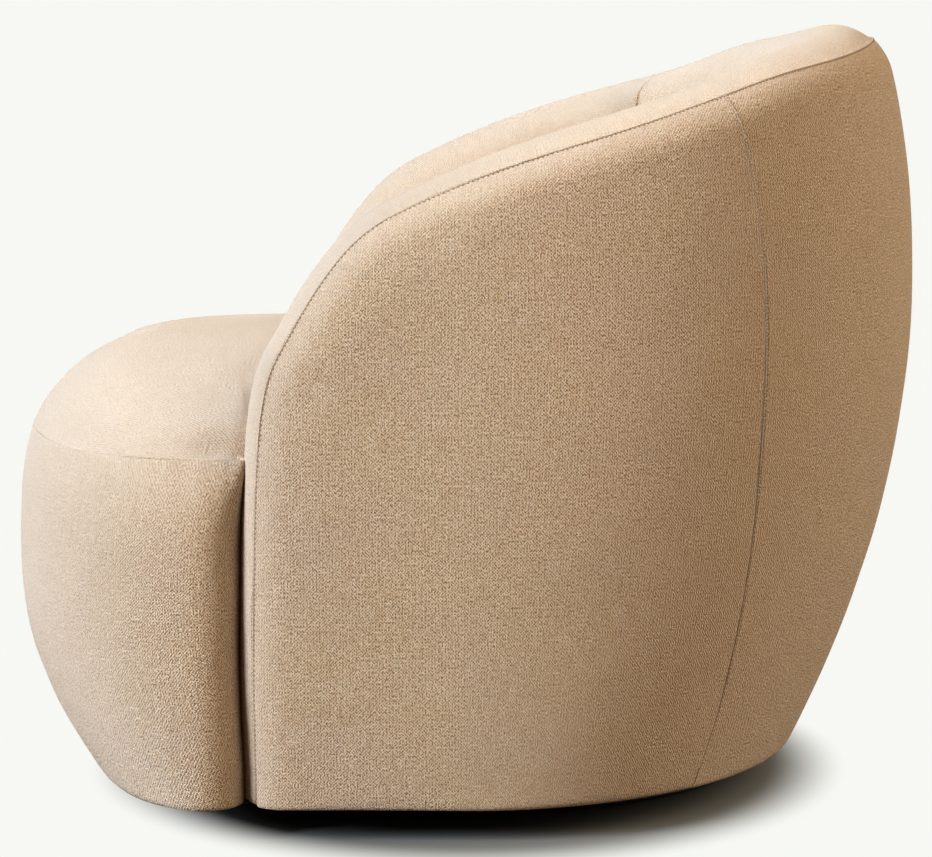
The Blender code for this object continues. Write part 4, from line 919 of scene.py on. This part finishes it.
welt = {
    "radius": 0.0008,
    "onRear": 0.9,       # the rear and seat welts' radius over the crest welt's
    "onSeat": 0.5,
    "proud": 0.0001,
    "seatProud": -0.0003,
    "step": 0.0035,
    "sides": 8,
}
stitch = {
    "pitch": 0.0046,
    "length": 0.0026,
    "radius": 0.00065,
    # Distance from the middle as part of the length, height, and radius over the thread's
    "rings": ((-0.5, -0.0007, 0.45), (-0.25, 0.0001, 1.0), (0.25, 0.0001, 1.0), (0.5, -0.0007, 0.45)),
}


def resample(line, normals, step):
    # Even steps along a seam, with the directions along it, across it and out of the cloth
    above = line[:, 2] > shell["bottom"] + 0.003
    line, normals = line[above], normals[above]
    run = runAlong(line)
    marks = np.linspace(0.0, run[-1], max(int(run[-1] / step), 2) + 1)
    points, ups = (np.stack([np.interp(marks, run, column) for column in values.T], 1) for values in (line, normals))
    ups /= np.linalg.norm(ups, axis=1)[:, None]
    ahead = np.gradient(points, axis=0)
    ahead /= np.linalg.norm(ahead, axis=1)[:, None]
    return points, ahead, np.cross(ahead, ups), ups


def weltTube(name, line, normals, radius, proud):
    # The folded edge of the upper cloth, as a fine cord along the seam
    points, ahead, across, ups = resample(line, normals, welt["step"])
    across /= np.linalg.norm(across, axis=1)[:, None]
    ups = np.cross(across, ahead)
    sides = welt["sides"]
    turns = (2 * math.pi * np.arange(sides) / sides)[:, None, None]
    rings = points + ups * proud + radius * (np.cos(turns) * across + np.sin(turns) * ups)
    index = np.arange(len(points) * sides).reshape(-1, sides)
    faces = gridFaces(np.column_stack([index, index[:, 0]])) + [index[0, ::-1].tolist(), index[-1].tolist()]
    uv = np.stack([np.repeat(runAlong(points), sides), np.tile(np.arange(sides) * radius * 0.8, len(points))], 1)
    piece = newPiece(name, np.swapaxes(rings, 0, 1).reshape(-1, 3), faces, uv)
    facesOut(piece)
    piece.data.shade_smooth()
    return piece


def stitchRow(name, lines):
    # Short lengths of thread, each dipping into the cloth at its ends
    turns = np.radians(np.arange(0.0, 360.0, 60.0))
    one = []
    for share, rise, thick in stitch["rings"]:
        radius = stitch["radius"] * thick
        one += [(share * stitch["length"], math.cos(turn) * radius, rise + math.sin(turn) * radius) for turn in turns]
    one = np.array(one)
    index = np.arange(len(one)).reshape(-1, len(turns))
    rings = gridFaces(np.column_stack([index, index[:, 0]]).T) + [index[0].tolist(), index[-1, ::-1].tolist()]
    points = []
    for line, normals in lines:
        places, ahead, across, ups = resample(line, normals, stitch["pitch"])
        points += [place + one @ np.array(axes) for place, *axes in zip(places, ahead, across, ups)]
    faces = [[v + k * len(one) for v in ring] for k in range(len(points)) for ring in rings]
    piece = newPiece(name, np.concatenate(points), faces, np.tile(one[:, :2], (len(points), 1)))
    facesOut(piece)
    piece.data.shade_smooth()
    return piece


def crestSeamLine(prefix):
    left, back, right = (seamLines[prefix + tag] for tag in ("Left", "Back", "Right"))
    return [np.concatenate([a[:-1], b, c[::-1][1:]]) for a, b, c in zip(left, back, right)]


crestWelt = weltTube("crestWelt", *crestSeamLine("crest"), welt["radius"], welt["proud"])
rearWelts = [weltTube("rearWelt" + tag, *seamLines["rear" + tag], welt["radius"] * welt["onRear"], welt["proud"])
             for tag in ("Left", "Right")]
seatWelt = weltTube("seatWelt", *seamLines["seat"], welt["radius"] * welt["onSeat"], welt["seatProud"])
stitches = stitchRow("topStitches", [crestSeamLine("stitch"), seamLines["stitchRearLeft"],
                                     seamLines["stitchRearRight"]])
print("seams sewn")

underside = {
    "cloth": 0.0005,
    "stapleEvery": 0.042,
    "staple": (0.011, 0.0011, 0.0006),
    "stapleIn": 0.009,
    "bow": 0.00035,
    "skew": 0.35,
    "slack": 0.0009,
    "turns": 288,
    "rings": (0.0, 0.03, 0.12, 0.25, 0.4, 0.55, 0.7, 0.82, 0.90, 0.945, 0.95, 0.975, 1.0),
    "hem": 0.948,         # share of the way out at which the doubled hem starts
    "sags": (0.3, 0.9),
    "tight": (0.95, 1.0),
    "stapleRound": 0.4,
    "stapleSunk": 0.45,
    "fold": 0.0006,       # how much lower the doubled hem lies
    "under": 0.0001,
}


def coverOutline():
    # The dust cover's hole and cut edge as distances from the axis, from the CAD solid that it stands for
    points = coordinates(frame["nodes"]["dust_cover"].data)
    low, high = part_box("dust_cover")
    reach = np.hypot(points[:, 0], points[:, 1])
    hole = float(reach.min())
    outer = points[reach > hole * 1.3]
    turn = np.arctan2(outer[:, 1], outer[:, 0])
    order = np.argsort(turn)
    angles = np.linspace(-math.pi, math.pi, underside["turns"], endpoint=False)
    away = np.interp(angles, turn[order], np.hypot(outer[:, 0], outer[:, 1])[order], period=2 * math.pi)
    return angles, hole, away, float(low[2]), float(high[2])


def dustSheet():
    angles, hole, away, low, high = coverOutline()
    direction = np.stack([np.cos(angles), np.sin(angles)], 1)
    edge = direction * away[:, None]
    run = runAlong(edge)
    # The cloth sags a little between its staples
    between = np.sin(math.pi * run / underside["stapleEvery"]) ** 2
    points = []
    for share in underside["rings"]:
        flat = direction * (hole + (away - hole) * share)[:, None]
        hem = underside["fold"] if share > underside["hem"] else 0.0
        sag = float(smoothStep(share, *underside["sags"]) * (1 - smoothStep(share, *underside["tight"])))
        points.append(np.column_stack([flat, high - underside["under"] - hem - underside["slack"] * between * sag]))
    grid = np.arange(len(points) * len(angles)).reshape(len(points), -1)
    faces = gridFaces(np.column_stack([grid, grid[:, 0]]))
    points = np.concatenate(points)
    piece = newPiece("dustSheet", points, faces, points[:, :2], (len(faces) // 2, (0.0, 0.0, -1.0)))
    piece.data.shade_smooth()
    selectOnly(piece)
    wall = piece.modifiers.new("thickness", "SOLIDIFY")
    wall.thickness = underside["cloth"]
    wall.offset = 1.0
    bpy.ops.object.modifier_apply(modifier=wall.name)
    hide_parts("dust_cover")
    marks = np.arange(0.5, run[-1] / underside["stapleEvery"]) * underside["stapleEvery"]
    inner = direction * (away - underside["stapleIn"])[:, None]
    places = np.stack([np.interp(marks, run, inner[:, 0]), np.interp(marks, run, inner[:, 1])], 1)
    return piece, places, high - underside["under"] - underside["fold"] - underside["cloth"]


def staples(places, level):
    # One crown is shaped and copied along the hem
    long, wide, deep = underside["staple"]
    bpy.ops.object.select_all(action="DESELECT")
    bpy.ops.mesh.primitive_cube_add(size=1.0, location=(0.0, 0.0, 0.0), scale=(long, wide, deep))
    first = bpy.context.active_object
    bpy.ops.object.transform_apply(location=True, rotation=True, scale=True)
    rounded = first.modifiers.new("soft", "BEVEL")
    rounded.width = deep * underside["stapleRound"]
    rounded.segments = 1
    bpy.ops.object.modifier_apply(modifier=rounded.name)
    crown = coordinates(first.data)
    crown[:, 2] += underside["bow"] * (1 - (2 * crown[:, 0] / long) ** 2)
    rings = [list(face.vertices) for face in first.data.polygons]
    bpy.data.objects.remove(first)
    points = []
    faces = []
    for k, (x, y) in enumerate(places):
        ahead = places[(k + 1) % len(places)] - places[k - 1]
        turn = math.atan2(ahead[1], ahead[0]) + underside["skew"] * noise.noise(Vector((k * 1.7, 3.1, 0.4)))
        cos, sin = math.cos(turn), math.sin(turn)
        spin = np.array([[cos, sin, 0.0], [-sin, cos, 0.0], [0.0, 0.0, -1.0]])
        faces += [[v + len(points) for v in ring] for ring in rings]
        points += list(crown @ spin + np.array([x, y, level - deep * underside["stapleSunk"]]))
    points = np.array(points)
    piece = newPiece("coverStaples", points, faces, points[:, :2])
    facesOut(piece)
    return piece


coverSheet, staplePlaces, stapleLevel = dustSheet()
coverStaples = staples(staplePlaces, stapleLevel)
print("underside covered")


def linear(hexColour):
    # sRGB hex to the linear values the shader works in
    values = []
    for k in (0, 2, 4):
        part = int(hexColour[k:k + 2], 16) / 255
        values.append(part / 12.92 if part <= 0.04045 else ((part + 0.055) / 1.055) ** 2.4)
    return (*values, 1.0)


def addNode(tree, kind, settings=None, links=None):
    # settings are properties or input values; links are input: (node, output)
    node = tree.nodes.new("ShaderNode" + kind)
    for key, value in (settings or {}).items():
        if isinstance(key, str) and hasattr(node, key):
            setattr(node, key, value)
        else:
            node.inputs[key].default_value = value
    for key, (source, output) in (links or {}).items():
        tree.links.new(source.outputs[output], node.inputs[key])
    return node


def newMaterial(name):
    material = bpy.data.materials.new(name)
    material.use_nodes = True
    tree = material.node_tree
    return material, tree, tree.nodes["Principled BSDF"]


linen = {
    "thread": "E6C69F",
    "slub": "F1D8B7",
    "dark": "D2AC81",
    # painted shade in the gaps between the yarns
    "gapShade": "6B4A2D",
    "pink": "E6C6AE",
    # painted light: the pale cream laid on where the cloth faces the light
    "litPaint": "E3D0BA",
    "pitch": 0.0029,      # the real yarn lies about 1.5 mm apart; drawn coarser so that it shows
    "slubLength": 0.022,
    "upright": 0.12,      # how much the upright yarns stand over the others
    "crossing": 0.40,
    "fleck": (850.0, 3.4),
    "wander": (130.0, 2.6),
    "yarn": (1.4, 0.6, 0.55, -0.1),     # weight of the upright and the level slubs, their relief and its start
    "toneEnds": (0.30, 0.70),
    "gapEnds": (0.75, 0.95),
    "blotch": (9.0, 0.42, 0.70, 0.35),
    # Painted light: how much pale cream is laid on where the cloth faces the light, and how much painted gap shade is
    # left there
    "litPaintStrength": 0.6,
    "litGaps": 0.3,        # what is left of the gaps there
    "relief": 0.0009,
    "surface": {"Roughness": 0.92, "Specular IOR Level": 0.20, "Sheen Weight": 0.4, "Sheen Roughness": 0.45},
    "sheen": "FFFAF2",
}


def wovenLinen():
    # Flax upholstery cloth, plain woven and piece dyed: matt, with uneven upright yarn and a pale bloom of fibre
    material, tree, shader = newMaterial("linenPlainWeave")
    uv = addNode(tree, "UVMap", {"uv_map": "cloth"})
    split = addNode(tree, "SeparateXYZ", links={0: (uv, "UV")})
    count = 1.0 / linen["pitch"]
    # Upright and level yarns as two wandering sine waves; their product lifts each crossing
    scale, much = linen["wander"]
    wobble = addNode(tree, "TexNoise", {"Scale": scale, "Detail": 3.0}, {"Vector": (uv, "UV")})
    off = addNode(tree, "Math", {"operation": "MULTIPLY_ADD", 1: much, 2: -much / 2}, {0: (wobble, 0)})
    waves = []
    slubs = []
    # Slubs: each yarn thickens and thins along its length
    for axis, stretch in (("X", (count * 0.9, 1.0 / linen["slubLength"], 1.0)),
                          ("Y", (1.0 / linen["slubLength"], count * 0.9, 1.0))):
        phase = addNode(tree, "Math", {"operation": "MULTIPLY_ADD", 1: count * 2 * math.pi},
                        {0: (split, axis), 2: (off, 0)})
        waves.append(addNode(tree, "Math", {"operation": "SINE"}, {0: (phase, 0)}))
        place = addNode(tree, "Mapping", {"Scale": stretch}, {"Vector": (uv, "UV")})
        slubs.append(addNode(tree, "TexNoise", {"Scale": 1.0, "Detail": 3.0, "Roughness": 0.65},
                             {"Vector": (place, 0)}))
    crossing = addNode(tree, "Math", {"operation": "MULTIPLY"}, {0: (waves[0], 0), 1: (waves[1], 0)})
    upright = addNode(tree, "Math", {"operation": "MULTIPLY_ADD", 1: linen["upright"], 2: 0.5}, {0: (waves[0], 0)})
    lift = addNode(tree, "Math", {"operation": "MULTIPLY_ADD", 1: linen["crossing"]},
                   {0: (crossing, 0), 2: (upright, 0)})
    upWeight, levelWeight, raised, start = linen["yarn"]
    thinOver = addNode(tree, "Math", {"operation": "MULTIPLY", 1: levelWeight}, {0: (slubs[1], 0)})
    yarn = addNode(tree, "Math", {"operation": "MULTIPLY_ADD", 1: upWeight}, {0: (slubs[0], 0), 2: (thinOver, 0)})
    yarnHeight = addNode(tree, "Math", {"operation": "MULTIPLY_ADD", 1: raised, 2: start}, {0: (yarn, 0)})
    yarnTone = addNode(tree, "Math", {"operation": "MULTIPLY", 1: 0.5}, {0: (yarn, 0)})
    tone = addNode(tree, "ValToRGB", links={0: (yarnTone, 0)})
    ramp = tone.color_ramp.elements
    ramp[0].position, ramp[1].position = linen["toneEnds"]
    ramp.new(0.50)
    for element, colour in zip(ramp, ("dark", "thread", "slub")):
        element.color = linear(linen[colour])
    # Painted shade: the gaps between the yarns are painted darker and browner, and stray flecks of flax break up the
    # rows
    scale, much = linen["fleck"]
    upward = addNode(tree, "Mapping", {"Scale": (1.0, 0.55, 1.0)}, {"Vector": (uv, "UV")})
    fleck = addNode(tree, "TexNoise", {"Scale": scale, "Detail": 2.0, "Roughness": 0.6}, {"Vector": (upward, 0)})
    rough = addNode(tree, "Math", {"operation": "MULTIPLY_ADD", 1: much, 2: -much / 2}, {0: (fleck, 0)})
    broken = addNode(tree, "Math", {"operation": "ADD"}, {0: (lift, 0), 1: (rough, 0)})
    height = addNode(tree, "Math", {"operation": "ADD"}, {0: (broken, 0), 1: (yarnHeight, 0)})
    ends, deepest = linen["gapEnds"]
    gapShadeMask = addNode(tree, "MapRange", {"From Max": ends, "To Min": deepest, "To Max": 0.0}, {"Value": (broken, 0)})
    # Faint pinkish and yellowish patches, a hand's width across
    scale, low, high, most = linen["blotch"]
    blotch = addNode(tree, "TexNoise", {"Scale": scale, "Detail": 3.0}, {"Vector": (uv, "UV")})
    blotchMask = addNode(tree, "MapRange", {"From Min": low, "From Max": high, "To Max": most},
                         {"Value": (blotch, 0)})
    patched = addNode(tree, "Mix", {"data_type": "RGBA", 7: linear(linen["pink"])},
                      {0: (blotchMask, 0), 6: (tone, 0)})
    # Painted light: the cloth is painted a paler cream where it faces the light, as the mesh attribute records
    litShare = addNode(tree, "Attribute", {"attribute_name": "paintedLight"})
    litPaintMask = addNode(tree, "Math", {"operation": "MULTIPLY", 1: linen["litPaintStrength"]}, {0: (litShare, "Fac")})
    litPaint = addNode(tree, "Mix", {"data_type": "RGBA", 7: linear(linen["litPaint"])},
                       {0: (litPaintMask, 0), 6: (patched, 2)})
    # Where the cloth faces the light, most of the painted gap shade is taken out again, so that the lit side reads
    # smooth and pale
    gapShadeKept = addNode(tree, "MapRange", {"To Min": 1.0, "To Max": linen["litGaps"]}, {"Value": (litShare, "Fac")})
    gapShadeDepth = addNode(tree, "Math", {"operation": "MULTIPLY"}, {0: (gapShadeMask, 0), 1: (gapShadeKept, 0)})
    shaded = addNode(tree, "Mix", {"data_type": "RGBA", 7: linear(linen["gapShade"])},
                     {0: (gapShadeDepth, 0), 6: (litPaint, 2)})
    tree.links.new(shaded.outputs[2], shader.inputs["Base Color"])
    for key, value in linen["surface"].items():
        shader.inputs[key].default_value = value
    shader.inputs["Sheen Tint"].default_value = linear(linen["sheen"])
    bump = addNode(tree, "Bump", {"Strength": 1.0, "Distance": linen["relief"]}, {"Height": (height, 0)})
    tree.links.new(bump.outputs[0], shader.inputs["Normal"])
    return material


looks = {
    # Twisted polyester thread, slightly smooth, painted darker than the cloth for the shade in the needle dimples of
    # the stitching
    "threadTwistedPolyester": {"grain": {"Scale": 900.0, "Detail": 2.0}, "tones": ((0.0, "86684C"), (1.0, "A38360")),
                               "rough": (0.6, 0.6)},
    # Beech ply in black satin lacquer: nearly black, soft shine, fine roller stipple
    "plyBlackLacquer": {"grain": {"Scale": 700.0, "Detail": 3.0}, "tones": ((0.0, "0E0D0C"), (1.0, "1B1917")),
                        "rough": (0.38, 0.55), "relief": (0.2, 0.0002)},
    # Pressed steel with bright zinc plating: grey, faintly blotched, semi-rough
    "steelZincPlated": {"grain": {"Scale": 120.0, "Detail": 4.0}, "tones": ((0.0, "9A9C9E"), (1.0, "C4C5C4")),
                        "rough": (0.28, 0.48), "metallic": 1.0},
    # Rotary-cut birch plywood, sanded and bare: pale, with a long soft grain
    "plywoodBirchSanded": {"grain": {"Scale": 1.0, "Detail": 5.0, "Distortion": 0.6},
                           "stretch": (60.0, 4.0, 60.0), "tones": ((0.3, "B58F5E"), (0.7, "DDBD8B")),
                           "rough": (0.6, 0.6), "relief": (0.25, 0.0003)},
    # Spunbonded polypropylene, pressed with small points: black, dull, slightly fuzzy
    "dustClothSpunbond": {"texture": "TexVoronoi", "grain": {"Scale": 500.0},
                          "tones": ((0.0, "100F0F"), (1.0, "262423")), "rough": (0.9, 0.9)},
    # Needled grey felt: soft flecks of darker and lighter fibre, no shine
    "feltNeedledWool": {"grain": {"Scale": 450.0, "Detail": 5.0, "Roughness": 0.75},
                        "tones": ((0.35, "4C4B49"), (0.7, "8E8C88")), "rough": (0.95, 0.95), "relief": (0.5, 0.0005)},
}


def finishOf(name):
    # One texture sets the tone, the roughness and the relief of a plain material
    look = looks[name]
    material, tree, shader = newMaterial(name)
    place = addNode(tree, "TexCoord")
    stretch = addNode(tree, "Mapping", {"Scale": look.get("stretch", (1.0, 1.0, 1.0))}, {"Vector": (place, "Object")})
    grain = addNode(tree, look.get("texture", "TexNoise"), look["grain"], {"Vector": (stretch, 0)})
    tone = addNode(tree, "ValToRGB", links={0: (grain, 0)})
    for element, (position, colour) in zip(tone.color_ramp.elements, look["tones"]):
        element.position = position
        element.color = linear(colour)
    tree.links.new(tone.outputs[0], shader.inputs["Base Color"])
    low, high = look["rough"]
    rough = addNode(tree, "MapRange", {"To Min": low, "To Max": high}, {"Value": (grain, 0)})
    tree.links.new(rough.outputs[0], shader.inputs["Roughness"])
    shader.inputs["Metallic"].default_value = look.get("metallic", 0.0)
    if "relief" in look:
        strength, depth = look["relief"]
        bump = addNode(tree, "Bump", {"Strength": strength, "Distance": depth}, {"Height": (grain, 0)})
        tree.links.new(bump.outputs[0], shader.inputs["Normal"])
    return material


linenCloth = wovenLinen()
threadFinish = finishOf("threadTwistedPolyester")
finishes = {
    "plinth_paint": finishOf("plyBlackLacquer"),
    "steel": finishOf("steelZincPlated"),
    "plywood": finishOf("plywoodBirchSanded"),
    "dust_cloth": finishOf("dustClothSpunbond"),
    "felt": finishOf("feltNeedledWool"),
}
slotOfNode = {row["node"]: row["material_slot"] for row in frame["record"]["subparts"]}
for name, item in frame["nodes"].items():
    finish = finishes.get(slotOfNode[name])
    if finish:
        for place in item.material_slots:
            place.material = finish

clothPieces = [*sidePanels, backPanel, cover, cushion, boxing]
# The linen pieces get their painted light here, and the welts their paler tone, partly wear and partly painted
# highlight
for piece in [*clothPieces, crestWelt, *rearWelts, seatWelt]:
    paintLitSide(piece, 0.0 if piece in clothPieces else paintedLight["onWelts"])
    piece.data.materials.append(linenCloth)
    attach(piece, "chair")
for piece, finish, slot in ((stitches, threadFinish, "linen"), (coverSheet, finishes["dust_cloth"], "dust_cloth"),
                            (coverStaples, finishes["steel"], "steel")):
    piece.data.materials.append(finish)
    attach(piece, "chair")
print("finishes laid")

studio = {
    "floorHalf": 120.0,
    # Painted shadow: near the chair the camera sees the floor painted dark grey, giving way between these two
    # distances to the evenly glowing paper
    "paintedShadowEdge": (0.395, 0.505),
    "oval": (1.0, 1.35, 1.0),
    "paper": "F7F8F3",
    # the dark grey of that painted shadow, which the floor's real shadow darkens further
    "paintedShadowGrey": "6A6A67",
    "floorBounce": "4B3620",
    "horizon": (0.06, 0.55),
    "fill": (0.10, (1.0, 0.84, 0.65)),
    "rear": ((0.20, 0.94, 0.42), 6.0, 6.9, (1.0, 0.86, 0.67)),
    "keyFrom": (0.48, -0.77, 0.42),
    "keyPower": 6.5,
    "keyTint": (0.81, 0.895, 1.02),
    "keyWidth": 24.0,     # degrees across, as a large softbox
}


def seenBy(tree):
    # 1 where the camera sees the surface, straight on, mirrored or through glass, and 0 for the light it gives
    rays = addNode(tree, "LightPath")
    seen = addNode(tree, "Math", {"operation": "MAXIMUM"}, {0: (rays, "Is Camera Ray"), 1: (rays, "Is Glossy Ray")})
    return addNode(tree, "Math", {"operation": "MAXIMUM"}, {0: (seen, 0), 1: (rays, "Is Transmission Ray")})


def studioFloor():
    bpy.ops.object.select_all(action="DESELECT")
    bpy.ops.mesh.primitive_plane_add(size=2 * studio["floorHalf"], location=(0.0, 0.0, 0.0))
    floor = bpy.context.active_object
    floor.name = "studioFloor"
    selectOnly(floor)
    bpy.ops.object.transform_apply(location=True, rotation=True, scale=True)
    material, tree, shader = newMaterial("paperSweepMatt")
    seen = seenBy(tree)
    # Painted shadow: the camera sees the floor dark grey, while the light the floor gives is a dark brown
    tint = addNode(tree, "Mix", {"data_type": "RGBA", 6: linear(studio["floorBounce"]),
                                 7: linear(studio["paintedShadowGrey"])}, {0: (seen, 0)})
    tree.links.new(tint.outputs[2], shader.inputs["Base Color"])
    shader.inputs["Roughness"].default_value = 1.0
    shader.inputs["Specular IOR Level"].default_value = 0.0
    # Painted shadow: near the chair the camera sees the floor painted dark grey with its real shadow on it, and
    # further away the paper glows evenly, so that the shadow ends near the chair
    place = addNode(tree, "TexCoord")
    oval = addNode(tree, "VectorMath", {"operation": "MULTIPLY", 1: studio["oval"]}, {0: (place, "Object")})
    away = addNode(tree, "VectorMath", {"operation": "LENGTH"}, {0: (oval, 0)})
    near, far = studio["paintedShadowEdge"]
    paintedShadowEdge = addNode(tree, "MapRange", {"interpolation_type": "SMOOTHSTEP", "From Min": near, "From Max": far},
                    {"Value": (away, "Value")})
    paperSeen = addNode(tree, "Math", {"operation": "MULTIPLY"}, {0: (paintedShadowEdge, 0), 1: (seen, 0)})
    glow = addNode(tree, "Emission", {"Color": linear(studio["paper"])})
    blend = addNode(tree, "MixShader", links={0: (paperSeen, 0), 1: (shader, 0), 2: (glow, 0)})
    tree.links.new(blend.outputs[0], tree.nodes["Material Output"].inputs[0])
    floor.data.materials.append(material)


def keyLight():
    data = bpy.data.lights.new("keySoftbox", "SUN")
    data.energy = studio["keyPower"]
    data.angle = math.radians(studio["keyWidth"])
    data.color = studio["keyTint"]
    item = bpy.data.objects.new("keySoftbox", data)
    bpy.context.collection.objects.link(item)
    item.location = Vector(studio["keyFrom"]) * 4.0
    item.rotation_euler = Vector(studio["keyFrom"]).to_track_quat("Z", "Y").to_euler()


def studioLight():
    # A dim warm dome with a dark rim and a broad warm reflector behind the chair
    world = bpy.data.worlds.new("studioDome")
    bpy.context.scene.world = world
    world.use_nodes = True
    tree = world.node_tree
    place = addNode(tree, "TexCoord")
    strength, tint = studio["fill"]
    direction, tightness, power, colour = studio["rear"]
    towards = tuple(Vector(direction).normalized())
    aim = addNode(tree, "VectorMath", {"operation": "DOT_PRODUCT", 1: towards}, {0: (place, "Generated")})
    facing = addNode(tree, "Math", {"operation": "MAXIMUM", 1: 0.0}, {0: (aim, "Value")})
    lobe = addNode(tree, "Math", {"operation": "POWER", 1: tightness}, {0: (facing, 0)})
    glow = addNode(tree, "Mix", {"data_type": "RGBA", "blend_type": "MULTIPLY", 0: 1.0,
                                 6: (*(c * power for c in colour), 1.0)}, {7: (lobe, 0)})
    total = addNode(tree, "Mix", {"data_type": "RGBA", "blend_type": "ADD", 0: 1.0,
                                  6: (*(c * strength for c in tint), 1.0)}, {7: (glow, 2)})
    height = addNode(tree, "SeparateXYZ", links={0: (place, "Generated")})
    low, high = studio["horizon"]
    rim = addNode(tree, "MapRange", {"interpolation_type": "SMOOTHSTEP", "From Min": low, "From Max": high},
                  {"Value": (height, "Z")})
    dome = addNode(tree, "Mix", {"data_type": "RGBA", "blend_type": "MULTIPLY", 0: 1.0}, {6: (total, 2), 7: (rim, 0)})
    both = addNode(tree, "Mix", {"data_type": "RGBA", 7: linear(studio["paper"])},
                   {0: (seenBy(tree), 0), 6: (dome, 2)})
    tree.links.new(both.outputs[2], tree.nodes["Background"].inputs["Color"])
    tree.nodes["Background"].inputs["Strength"].default_value = 1.0


studioFloor()
studioLight()
keyLight()
bpy.context.scene.view_settings.view_transform = "Standard"
print("studio set")
